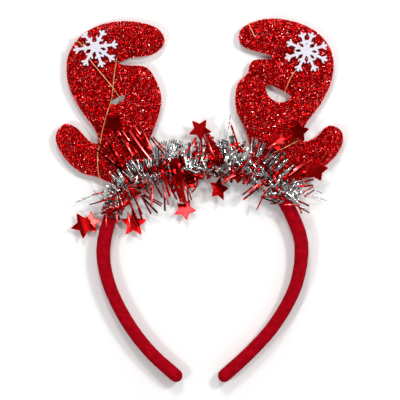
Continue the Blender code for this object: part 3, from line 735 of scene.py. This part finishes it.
# Single red strips, with the same columns
RED_STRIPS = [
    (2.4, LIT, 0.95, (129.5, 131), (140, 146), (151, 160)),
    (2.0, LIT, 0.95, (134.5, 126.5), (137, 130), (140.5, 134.5)),
    (2.0, LIT, 0.88, (122.5, 130.5), (126, 136), (130, 141)),
    (2.0, LIT, 0.82, (118, 131.5), (121.5, 136)),
    (1.8, LIT, 0.75, (140, 124), (146, 136), (152, 149)),
    (3.4, 5, 0.5, (121, 134), (132, 148), (142, 163)),
    (3.4, 5, 0.5, (133, 130), (143, 143), (152, 154)),
    (2.6, 8, 0.5, (129, 127), (139, 146), (147, 160)),
    (3.0, LIT, 0.61, (122, 139), (128, 147), (133, 156)),
    (1.7, 0, 0.08, (96, 149.6), (109, 160), (123, 171)),
    (4.8, 4, 0.62, (109, 144), (117, 158), (125, 170)),
    (1.6, 0, 0.08, (109.6, 144.8), (115, 156), (124, 176)),
    (1.0, 0, 0.15, (99, 143.3), (110.6, 154)),
    (1.8, LIT, 0.75, (108, 158), (112, 161), (119, 168)),
    (1.6, 5, 0.35, (151, 138), (157, 146), (164, 154)),
    (1.3, 8, 0.5, (153, 137), (160, 145), (167, 152)),
    (1.9, 20, 0.9, (122, 173), (127, 181.7), (134, 196), (142, 214)),
    (1.3, 10, 0.7, (144, 194), (153, 199), (162.5, 204)),
    (1.4, 4, 0.35, (142.6, 195), (161.5, 206)),
    (1.6, 0, 0.12, (141.6, 195.8), (149, 204), (157.6, 212.8)),
    (1.6, 10, 0.6, (141, 195), (146, 204), (151, 214)),
    (1.6, 4, 0.4, (154, 181.7), (158, 189), (162.5, 197.7)),
    (1.6, LIT, 0.82, (153.3, 184), (153, 194), (151.5, 206)),
    (2.2, 22, 1.0, (163, 170), (166.8, 186.4), (170, 196.7)),
    (1.5, 0, 0.15, (164.4, 191), (165, 211)),
    (1.4, LIT, 0.82, (162.4, 184), (164.4, 192.3), (168.7, 205)),
    (1.6, 5, 0.5, (167.3, 180), (172, 190), (177, 199.5)),
    (1.8, 22, 1.0, (129.5, 200), (134.8, 214)),
    (1.2, 5, 0.4, (110.5, 198), (96, 203)),
    (1.2, 5, 0.35, (104.7, 191.9), (92, 195.5)),
    (1.4, 5, 0.4, (113, 207), (101.3, 213.7)),
    (1.1, 5, 0.4, (108, 200), (90, 204.5)),
    (3.6, 8, 0.7, (107, 213), (118, 208), (130, 202)),
    (1.2, LIT, 0.82, (107, 214), (107, 227)),
    (1.2, LIT, 0.75, (117, 210), (118, 224)),
    (1.7, LIT, 0.95, (128.5, 212), (129.5, 220), (130.5, 227)),
    (1.5, 0, 0.12, (132, 210), (135.5, 218), (139.5, 226)),
    (1.8, 12, 0.6, (138.5, 208), (142.5, 220)),
    (6.6, 3, 0.42, (175, 158), (177, 168), (180, 182)),
    (3.4, 14, 0.6, (172, 176), (176, 186), (181, 198)),
    (1.5, 10, 0.6, (196, 138), (190, 147), (185, 156)),
    (1.3, 10, 0.6, (195, 138), (195.5, 148)),
    (1.3, 10, 0.6, (198, 142), (194, 148)),
    (2.0, 10, 0.6, (197.4, 146.6), (196, 156)),
    (1.8, 10, 0.65, (201.3, 141), (201.5, 154.4)),
    (0.9, 12, 0.9, (187, 158), (196, 158.5)),
    (1.8, 10, 0.7, (196.5, 163.5), (203, 162)),
    (1.6, 0, 0.05, (179.4, 155.4), (183.8, 165.5)),
    (2.8, LIT, 0.75, (205.6, 134), (211.5, 150), (215.8, 158)),
    (2.4, 8, 0.5, (208, 134), (215, 146), (219, 158)),
    (1.6, 8, 0.5, (203, 135), (209, 150), (213, 162)),
    (4.0, 2, 0.35, (182, 176), (192, 175), (202, 177.5)),
    (3.0, 2, 0.25, (184, 180), (194, 178.5), (201, 177)),
    (2.0, 24, 1.0, (175, 176), (177, 190), (181.4, 202)),
    (2.2, 24, 1.0, (178, 176), (181, 190), (184, 203)),
    (1.8, 22, 0.9, (181, 176), (183, 190), (186, 202)),
    (1.2, 8, 0.6, (182, 180), (188.6, 191.3), (191.5, 200)),
    (1.8, 24, 1.0, (184, 178), (187, 190), (188.5, 201)),
    (1.0, LIT, 0.88, (183, 180), (186, 188), (190, 194)),
    (1.5, LIT, 0.88, (196, 174), (195, 180.6)),
    (1.5, 12, 0.8, (198.5, 174), (197.5, 182), (196, 187.4), (191.5, 192.7)),
    (2.4, 5, 0.5, (173, 193), (176, 189.5), (179.5, 192.5)),
    (2.6, LIT, 0.68, (236, 173), (229, 178), (222.6, 183.5)),
    (1.7, 8, 0.55, (231, 125), (235, 137), (238, 147)),
    (1.4, 12, 0.8, (250, 158.7), (257.3, 145)),
    (1.4, 12, 0.8, (273.5, 167.8), (282, 157.4)),
    (1.2, 12, 0.7, (265, 158), (270, 148)),
    (2.8, 6, 0.45, (245.6, 162), (239, 170), (232.6, 179)),
    (1.4, LIT, 0.75, (243.6, 170.4), (236, 175), (228, 179)),
    (1.6, 18, 0.9, (242.3, 184), (246.9, 180)),
    (1.8, LIT, 0.75, (264.4, 178), (256, 186), (248.8, 193)),
    (1.7, 5, 0.4, (263, 183.5), (253, 192), (243, 199.7)),
    (1.3, 6, 0.5, (252, 187), (242.3, 195)),
    (1.5, 20, 1.1, (266.4, 189), (261, 200), (256.6, 209.5)),
    (1.3, 0, 0.12, (260.5, 197), (276, 203)),
    (1.3, 10, 0.7, (261, 196.5), (274, 197.5), (286.6, 199.7)),
    (1.1, 6, 0.5, (269.6, 203.6), (276, 203.6)),
    (5.0, 8, 0.6, (284, 180), (294, 174), (304, 166)),
    (4.0, 8, 0.6, (288, 184), (300, 178), (311, 172)),
    (1.2, LIT, 0.68, (288.5, 175.6), (300, 167), (311.3, 159.4)),
    (2.2, LIT, 0.95, (293, 170.4), (301.5, 165)),
    (1.4, 12, 0.7, (286, 169), (300, 158)),
    (1.5, 18, 0.9, (284, 178), (306, 164)),
    (1.4, 14, 0.9, (290, 180), (300, 174), (309, 171)),
    (1.6, 8, 0.5, (298.3, 183), (313.2, 179.5)),
    (1.6, 10, 0.6, (298, 186.5), (313, 185.4)),
    (1.1, 10, 0.6, (301, 193.5), (313.2, 186.7)),
    (1.1, 10, 0.5, (304, 197), (314, 190)),
    (1.4, 5, 0.4, (298, 201), (308.7, 205.9)),
    (1.2, 5, 0.45, (297, 206), (308.7, 212.7)),
    (1.4, 5, 0.45, (297, 203), (300.9, 213.4)),
    (1.7, LIT, 0.95, (284, 204.8), (289.8, 204.6), (299, 206)),
    # This strip lies along the arc of highlight on star 8 and mirrors a soft box; its tone above one paints
    # that highlight brighter.
    (2.4, LIT, 1.09, (268, 149), (275, 144), (283, 143.4)),
    # This short wide strip, tilted to the light, stands for the round highlight on star 10; its tone above
    # one paints it brighter.
    (4.4, 20, 1.2, (189, 185), (194, 185.3)),
    (0.9, 0, 0.15, (304, 175), (313, 168), (322, 161.5)),
]
# Single strips. Steps are in pixels, the twist is in degrees, and the spread widens the tables' widths. The
# darkest lie over the others.
STRIP_STEP = 2.0
STRIP_LIFT = 1.3 * MM
STRIP_CRINKLE = 0.05 * MM
STRIP_BOW = 0.5 * MM
STRIP_SPREAD = 1.18
STRIP_TWIST = 26
DARK_TONE = 0.1
DARK_LIFT = 0.8 * MM
# Strips that mirror a soft box: among others, where along them the bow meets the light and its least slope
LIT_STEP = 1.4
MOST_TILT = 0.20
BOW_LIT_AT = 0.3
LIT_BOW = 0.07
LIT_RIDGE = 0.085
# The other strips: the distance from one to the next along the band, and their points
WINDING_STEP = 1.6 * MM
WINDING_POINTS = 19
FILL_STEP = 0.9 * MM
RED_STEP = 0.8 * MM
FILL_POINTS = 9
FAN_POINTS = 11
FAN_TONES = (0.2, 0.5, 0.7, 0.85, 1.0)


def facing_a_soft_box(path):
    """A straight strip tilted so that it mirrors a soft box, and the roll that it needs."""
    span = np.linalg.norm(path[-1, :2] - path[0, :2])
    heading = (path[-1, :2] - path[0, :2]) / span
    halves = [unit(unit(np.array(stands)) + (0, 0, 1)) for stands, *_ in SOFT_BOXES]
    half = min(halves, key=lambda h: abs(h[:2] @ heading))
    slope = -(half[:2] @ heading) / half[2]
    tilt = np.clip(slope, -MOST_TILT, MOST_TILT)
    bow = (abs(slope - tilt) / math.cos(BOW_LIT_AT * math.pi) + LIT_BOW) * span / math.pi
    t = np.linspace(0, 1, len(path))
    heights = tilt * span * (t - 0.5) + bow * np.sin(math.pi * t)
    heights += (path[:, 2] - heights).max()
    heights -= max(heights.max() - GARLAND_TOP, 0)
    along = unit(np.array([*heading, slope]))
    up = unit(np.array([0, 0, 1]) - along[2] * along)
    roll = math.atan2(half @ np.cross(along, up), half @ up)
    return np.column_stack([path[:, :2], heights]), roll


def beside_band(share, outwards, height):
    """A point beside the band: a share of its length, how far out of its middle line, and its height."""
    point, _, outward = band_at(share)
    x, y = point + outward * outwards
    return np.array([x, y, height])


def winding(strips, rng):
    """The strips that wrap the band itself, seen between the others and from the sides."""
    turns = np.radians(np.linspace(-75, 255, WINDING_POINTS))
    for share in np.arange(TINSEL_START, TINSEL_END, WINDING_STEP / LINE_LENGTH):
        lean = rng.uniform(-0.004, 0.004)
        out, up = rng.uniform(5.0, 6.2) * MM, rng.uniform(6.6, 7.6) * MM
        heights = np.maximum(BAND_DEPTH / 2 + up * np.sin(turns), 0.4 * MM)
        shares = share + lean * np.linspace(-0.5, 0.5, WINDING_POINTS)
        path = np.array([beside_band(*place) for place in zip(shares, -out * np.cos(turns), heights)])
        path += rng.normal(0, 0.35 * MM, path.shape)
        strips.add(path, rng.uniform(1.4, 2.6) * MM, rng.normal(0, 0.35), rng.uniform(0.2, 0.7), profile=FOLD)


def fill(strips, rng, step, tones, heights, reaches, width):
    """Loose strips along the winding, over both its edges and down. Heights, reaches and widths are in mm."""
    span = TINSEL_END - TINSEL_START
    for share in np.arange(TINSEL_START, TINSEL_END, step / LINE_LENGTH):
        t = (share - TINSEL_START) / span
        body = math.sin(math.pi * min(max(t * 0.9 + 0.05, 0), 1)) ** 0.4
        for sign, (low, high) in zip((1, -1), reaches):
            start = rng.uniform(-1, 3) * MM
            reach = sign * rng.uniform(low, high) * MM * body
            lean = rng.normal(0, 0.35) * abs(reach) / LINE_LENGTH
            base, drop = rng.uniform(*heights) * MM, rng.uniform(1, 8) * MM
            path = []
            for s in np.linspace(0, 1, FILL_POINTS):
                spot = beside_band(share + lean * s, start + reach * s, 0)
                under = height_under(spot[0], spot[1], ANTLERS)
                spot[2] = max(base - drop * s**2, 0.6 * MM if under is None else under + ANTLER_LIFT)
                path.append(spot)
            path = np.array(path) + rng.normal(0, 0.14 * MM, (FILL_POINTS, 3))
            strips.add(path, rng.uniform(*width) * MM, rng.normal(0, 0.55), rng.uniform(*tones), profile=FOLD)


def fan(strips, row, rng):
    """A bundle of strips side by side, each with a few soft crinkles, its tip turned back."""
    root, tip, count, gap, width = row
    root, tip, gap = at_pixel(*root), at_pixel(*tip), gap * PIXEL
    along = unit(tip - root)
    across = np.array([-along[1], along[0]])
    t = np.linspace(0, 1, FAN_POINTS)
    for k in range(count):
        side = (k - (count - 1) / 2 + rng.normal(0, 0.12)) * gap
        reach, lean = rng.uniform(0.80, 1.10), rng.normal(0, 0.10)
        aside = side * (0.6 + 0.4 * t) + lean * gap * 4 * t
        plan = root + np.outer(t * reach, tip - root) + np.outer(aside, across)
        path = np.array([(x, y, lie(x, y)) for x, y in plan])
        path[:, 2] += rng.uniform(0.8, 2.0) * MM
        path[:, 2] += rng.uniform(0.1, 0.3) * MM * np.sin(rng.uniform(8, 16) * t + rng.uniform(0, 6))
        turned = path[-1] + np.array([*(along * 0.4 * MM), -0.6 * MM])
        under = path[-1] + np.array([*(-along * 1.0 * MM), -1.3 * MM])
        path = np.vstack([path, turned, under])
        roll = rng.normal(0, 0.4) + rng.normal(0, 0.5) * np.linspace(-1, 1, len(path))
        strips.add(path, width * PIXEL * rng.uniform(0.7, 1.0), roll, rng.choice(FAN_TONES))


def loops(strips, row, rng):
    """Thin loops one behind the other, each up from the root, over and back."""
    (root_x, root_y), (tip_x, tip_y), count, gap = row
    for k in range(count):
        x = (k - (count - 1) / 2) * gap
        top = tip_y + rng.uniform(-1.0, 1.5)
        corners = [(root_x + x - 0.8, root_y), (tip_x + x - 1.0, (root_y + top) / 2), (tip_x + x, top),
                   (tip_x + x + 1.2, (root_y + top) / 2), (root_x + x + 1.0, root_y)]
        path = laid(corners, 13, 1.0 * MM)
        strips.add(path, 1.3 * PIXEL, math.radians(rng.uniform(45, 65)), rng.uniform(0.5, 1.0), ridge=0.05)


def crumple(strips, row, lift, rng):
    """Short pieces of foil folded every way about a place."""
    middle, radius, count, width = row
    for _ in range(count):
        spin, away = rng.uniform(0, 2 * math.pi), radius * math.sqrt(rng.random())
        x, y = at_pixel(*(middle + away * in_plane(spin)))
        heading, length = rng.uniform(0, 2 * math.pi), rng.uniform(3.0, 5.0) * MM
        place = np.array([x, y, lie(x, y) + lift + rng.uniform(-1.0, 0.8) * MM])
        step = np.array([*in_plane(heading), 0]) * length / 3
        path = place + np.arange(4)[:, None] * step + rng.normal(0, 0.45 * MM, (4, 3))
        strips.add(path, width * PIXEL * rng.uniform(0.8, 1.2), rng.normal(0, 0.6), rng.uniform(0.35, 1.0))


def single(strips, lit_strips, row, rng):
    """One strip from the tables, bowed a little. Those that mirror a soft box go into lit_strips."""
    width, roll, tone, *corners = row
    span = sum(math.dist(a, b) for a, b in zip(corners, corners[1:]))
    steps = max(7, int(span / (LIT_STEP if roll == LIT else STRIP_STEP)))
    width *= STRIP_SPREAD * PIXEL
    if roll == LIT:
        path, turn = facing_a_soft_box(laid(corners, steps, STRIP_LIFT))
        lit_strips.add(path, width, turn, tone, LIT_RIDGE)
        return
    path = laid(corners, steps, STRIP_LIFT + DARK_LIFT * (tone < DARK_TONE), STRIP_CRINKLE, rng)
    t = np.linspace(0, 1, steps)
    path[:, 2] += STRIP_BOW * np.sin(math.pi * t)
    twist = rng.uniform(-STRIP_TWIST, STRIP_TWIST) * (2 * t - 1)
    strips.add(path, width, np.radians(roll + twist) * rng.choice((-1, 1)), tone)


def silver_tinsel(finish, rng):
    strips = Strips()
    winding(strips, rng)
    fill(strips, rng, FILL_STEP, (0.15, 0.8), heights=(12.2, 13.8), reaches=((5, 10), (4, 8)), width=(1, 1.6))
    for row in FANS:
        fan(strips, row, rng)
    for row in LOOPS:
        loops(strips, row, rng)
    for row in SILVER_CRUMPLES:
        crumple(strips, row, 0.0, rng)
    for row in SILVER_STRIPS:
        single(strips, strips, row, rng)
    return strips.made("silver_tinsel", finish, "tinsel_foil")


def red_tinsel(finish, painted_highlight_finish, rng):
    strips, lit_strips = Strips(), Strips()
    fill(strips, rng, RED_STEP, (0.3, 1), heights=(13.4, 15.6), reaches=((5, 11), (5, 10)), width=(0.9, 1.5))
    for row in RED_CRUMPLES:
        crumple(strips, row, 1.2 * MM, rng)
    for row in RED_STRIPS:
        single(strips, lit_strips, row, rng)
    strips.made("red_tinsel", finish, "star_foil")
    # The lit strips take the paler red foil, painted so that their highlights come out whiter.
    lit_strips.made("red_tinsel_lit", painted_highlight_finish, "star_foil", smooth=True)


# Stars. Columns: name, pixel of the middle, radius in pixels, turn, the way the face leans and by how much,
# the waist as a share of the radius, bends. A bend has a direction, its line's distance from the middle as a
# share of the radius, and the angle by which its left side turns up. Angles are in degrees.
STARS = [
    ("star_1", 200.0, 129.7, 12.9, 41, 290, 13, 0.48, [(-35, -0.10, 3)]),
    ("star_2", 114.4, 124.2, 12.7, 42, 310, 0, 0.56, [(240, 0.55, -12)]),
    ("star_3", 84.0, 225.0, 15.0, 32, 40, 15, 0.48, [(105, 0.20, -20), (105, 0.55, 14), (285, 0.32, 8)]),
    ("star_4", 133.6, 223.6, 14.8, 0, 62, 12.5, 0.46, [(92, 0.28, 11), (92, 0.46, -11), (250, 0.35, -8)]),
    ("star_5", 184.7, 209.2, 12.5, 46, 98, 20, 0.48, [(30, 0.45, -34)]),
    ("star_6", 218.7, 188.9, 13.0, 61, 20, 36, 0.52, []),
    ("star_7", 297.5, 132.0, 12.4, 68, 5, 1, 0.52,
     [(88, 0.24, -15), (88, 0.38, 15), (88, -0.04, -9), (88, 0.08, 9)]),
    ("star_8", 274.0, 141.0, 12.8, 62, 350, 10, 0.52, [(220, 0.05, 24), (150, 0.3, -6)]),
    ("star_9", 315.0, 169.5, 13.6, 61, 280, 9, 0.58, [(40, 0.1, 6)]),
    ("star_10", 191.0, 183.0, 8.1, 9, 0, 0, 0.46, []),
    ("star_11", 90.3, 222.5, 12.6, 66, 207, 18.5, 0.46, []),
]
# The star whose foil is painted paler, a painted highlight where it mirrors a soft box
PAINTED_HIGHLIGHT_STAR = "star_11"
STAR_THICKNESS = 0.16 * MM
STAR_RINGS = [*np.linspace(0, 0.88, 12).tolist(), 0.95, 1.0]
STAR_SECTORS = 70
# The rim rises at the last ring but one and drops at the last
STAR_RIM = 0.10 * MM
# The softness of a bend, as a share of the radius
CREASE = 0.05
STAR_ABOVE_FLOOR = 0.2 * MM
STAR_ABOVE_KNIT = 1.0 * MM


def star_radius(angle, waist):
    """How far a star's edge stands from its middle at an angle from a tip, its tips rounded off."""
    tip = 2 * math.pi / 5
    turn = abs((angle + tip / 2) % tip - tip / 2)
    waist_x, waist_y = waist * math.cos(tip / 2), waist * math.sin(tip / 2)
    c, s = math.cos(turn), math.sin(turn)
    sharp = waist_y / (c * waist_y + s * (1 - waist_x))
    return (sharp**-14 + 0.97**-14) ** (-1 / 14)


def bend(points, direction, offset, angle, radius):
    """Turns the part of a star on the left of a line up by an angle, over a soft crease."""
    across = in_plane(math.radians(direction + 90))
    beyond = (points[:, :2] @ across - offset * radius) / (CREASE * radius)
    beyond = np.logaddexp(0, beyond) * CREASE * radius
    points[:, :2] -= (beyond * (1 - math.cos(math.radians(angle))))[:, None] * across
    points[:, 2] += beyond * math.sin(math.radians(angle))


def star_sheet(radius, turn, waist, bends):
    """The middle surface of a star, ring by ring, flat but for its rim and its bends."""
    points = []
    for share in STAR_RINGS:
        rim = STAR_RIM * ((share == STAR_RINGS[-2]) - (share == STAR_RINGS[-1]))
        for k in range(STAR_SECTORS):
            angle = 2 * math.pi * k / STAR_SECTORS
            edge = star_radius(angle, waist) * share * radius
            points.append((*(edge * in_plane(angle + math.radians(turn + 90))), rim))
    points = np.array(points)
    for direction, offset, angle in bends:
        bend(points, direction, offset, angle, radius)
    points[:, 2] -= points[0, 2]
    return points


def star_faces():
    """The faces of a star's upper side, its under side and the edge between them."""
    around, count = STAR_SECTORS, STAR_SECTORS * len(STAR_RINGS)
    sides = [(a, a - a % around + (a + 1) % around) for a in range(count)]
    faces = []
    for a, b in sides[:-around]:
        faces.append((a, a + around, b + around, b))
        faces.append((count + b, count + b + around, count + a + around, count + a))
    for a, b in sides[-around:]:
        faces.append((a, count + a, count + b, b))
    return faces


def star(row, finish):
    """A stamped foil star, bent and leaning as it lies."""
    name, x, y, radius, turn, towards, lean, waist, bends = row
    sheet = star_sheet(radius * PIXEL, turn, waist, bends)
    half = np.array([0, 0, STAR_THICKNESS / 2])
    mesh = mesh_of(f"{name}_foil", np.vstack([sheet + half, sheet - half]), star_faces())
    axis = Vector((*in_plane(math.radians(towards + 90)), 0))
    mesh.transform(Matrix.Rotation(math.radians(lean), 4, axis))
    low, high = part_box(name)
    x, y = at_pixel(x, y)
    height = max((low.z + high.z) / 2, STAR_ABOVE_FLOOR - mesh_vectors(mesh)[:, 2].min())
    under = height_under(x, y, ANTLERS)
    if under is not None:
        height = max(height, under + STAR_ABOVE_KNIT)
    mesh.transform(Matrix.Translation((x, y, height)))
    made = object_of(f"{name}_foil", mesh, finish)
    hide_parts(name)


# The runs of both threads, through pixels of the photograph
GOLD_RUNS = [
    [(74.5, 42.5), (80, 43), (91, 61), (101, 73), (113, 88), (121, 99.5)],
    [(117, 58), (115, 72), (113, 90), (112, 98), (107, 115), (103, 130), (100, 145), (98, 155), (99, 175),
     (104, 192)],
    [(248, 22), (251, 30), (255, 38)],
    [(297, 69), (291, 77), (284, 94), (283, 103)],
    [(299, 140), (291, 144.5), (283, 148.5), (273, 152.8)],
]
CLEAR_RUNS = [[(202.7, 177.7), (208, 182), (213, 187.4)]]
# Threads. Columns: name, darkest and lightest colour, metallic share, width, lift, runs.
THREADS = [
    ("gold_thread", (0.45, 0.18, 0.05), (1.0, 0.68, 0.32), 0.6, 0.56 * MM, 0.9 * MM, GOLD_RUNS),
    ("clear_thread", (0.30, 0.31, 0.33), (0.60, 0.61, 0.63), 0.0, 0.22 * MM, 0.5 * MM, CLEAR_RUNS),
]


def tube(path, width, sides=6):
    """A round thread along a path, closed at its ends."""
    along = unit(np.gradient(path, axis=0))
    side = unit(np.cross(along, (0.05, 0.02, 1.0)))
    up = np.cross(side, along)
    turns = 2 * math.pi * np.arange(sides) / sides
    rings = path[:, None] + width / 2 * (
        side[:, None] * np.cos(turns)[None, :, None] + up[:, None] * np.sin(turns)[None, :, None])
    faces = [list(range(sides))[::-1], [(len(path) - 1) * sides + k for k in range(sides)]]
    return rings.reshape(-1, 3).tolist(), faces + ring_faces(len(path), sides)


def thread_path(corners, lift):
    """A path just above the antlers and stars, or on the tinsel where it meets none of them."""
    plan = through([at_pixel(x, y) for x, y in corners], 6 * len(corners))
    tops = [height_under(x, y, TOPS) for x, y in plan]
    known = [i for i, top in enumerate(tops) if top is not None]
    if known:
        heights = np.interp(range(len(plan)), known, [tops[i] + lift for i in known])
    else:
        heights = [lie(x, y) for x, y in plan]
    return np.column_stack([plan, heights])


def thread(name, dark, light, metallic, width, lift, runs):
    points, faces = [], []
    for corners in runs:
        append_body(points, faces, *tube(thread_path(corners, lift), width))
    object_of(name, mesh_of(name, points, faces), thread_material(name, dark, light, metallic))


# Floor, light and camera

FLOOR_SIDE = 6.0
# The studio's brightness by height above the horizon. It is dark right overhead.
SKY = [(0.0, 0.40), (0.35, 0.50), (0.70, 0.55), (0.90, 0.50), (0.955, 0.12), (1.0, 0.04)]
SKY_STRENGTH = 1.16
BRIGHT_SIDE = (0.57, 0.82, 0.0)
SKY_UNEVEN = 0.40


def lamp(name, stands, side, power):
    light = bpy.data.lights.new(name, "AREA")
    light.shape = "SQUARE"
    light.size = side
    light.energy = power
    made = placed(name, light)
    made.location = stands
    made.rotation_euler = (-Vector(stands)).to_track_quat("-Z", "Y").to_euler()


def floor():
    half = FLOOR_SIDE / 2
    corners = [(-half, -half, 0), (half, -half, 0), (half, half, 0), (-half, half, 0)]
    made = placed("floor", mesh_of("floor", corners, [(0, 1, 2, 3)]))
    made.data.materials.append(floor_material())


def sky():
    world = bpy.data.worlds.new("studio")
    world.use_nodes = True
    tree = world.node_tree
    heading = node(tree, "TexCoord").outputs["Generated"]
    height = node(tree, "SeparateXYZ", {"Vector": heading}).outputs["Z"]
    light = ramp(tree, height, [(level, (bright,) * 3) for level, bright in SKY])
    towards = node(tree, "VectorMath", {0: heading, 1: BRIGHT_SIDE}, operation="DOT_PRODUCT")
    slant = {0: towards.outputs["Value"], 1: SKY_UNEVEN, 2: 1.0}
    uneven = node(tree, "Math", slant, operation="MULTIPLY_ADD")
    strength = node(tree, "Math", {0: uneven.outputs[0], 1: SKY_STRENGTH}, operation="MULTIPLY")
    background = tree.nodes["Background"]
    tree.links.new(light, background.inputs["Color"])
    tree.links.new(strength.outputs[0], background.inputs["Strength"])
    bpy.context.scene.world = world


def soft_boxes():
    """Each soft box and, just in front of it, the small bright lamp in its middle."""
    for i, (stands, side, power, hot_power) in enumerate(SOFT_BOXES):
        lamp(f"soft_box_{i + 1}", stands, side, power)
        lamp(f"hot_spot_{i + 1}", [HOT_SPOT_NEARER * k for k in stands], HOT_SPOT, hot_power)


def camera():
    made = bpy.data.cameras.new("camera")
    made.sensor_width = SENSOR / MM
    made.lens = SENSOR / MM * CAMERA_DISTANCE / (PHOTO_SIDE * PIXEL)
    made.clip_start, made.clip_end = 0.01, 20
    eye = placed("camera", made)
    middle_x, middle_y = at_pixel(PHOTO_SIDE / 2, PHOTO_SIDE / 2)
    eye.location = (middle_x, middle_y, FOCUS_HEIGHT + CAMERA_DISTANCE)
    bpy.context.scene.camera = eye
    bpy.context.scene.view_settings.view_transform = "Standard"


def main():
    rng = np.random.default_rng(7)
    velvet_band(velvet_material())
    knit_ground, lurex = knit_ground_material(), lurex_material()
    felt = felt_material()
    for side in ("left", "right"):
        antler(side, knit_ground, lurex, rng)
    for side in ("left", "right"):
        snowflake(side, felt)
    garland = silver_tinsel(foil_material("silver_foil", toned=True), rng)
    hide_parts("garland")
    red_tinsel(foil_material("red_foil", toned=True), foil_material("red_foil_painted_highlight", toned=True), rng)
    star_foil, painted_highlight_star_foil = foil_material("star_foil"), foil_material("star_foil_painted_highlight")
    for row in STARS:
        star(row, painted_highlight_star_foil if row[0] == PAINTED_HIGHLIGHT_STAR else star_foil)
    for row in THREADS:
        thread(*row)
    floor()
    sky()
    soft_boxes()
    camera()


main()
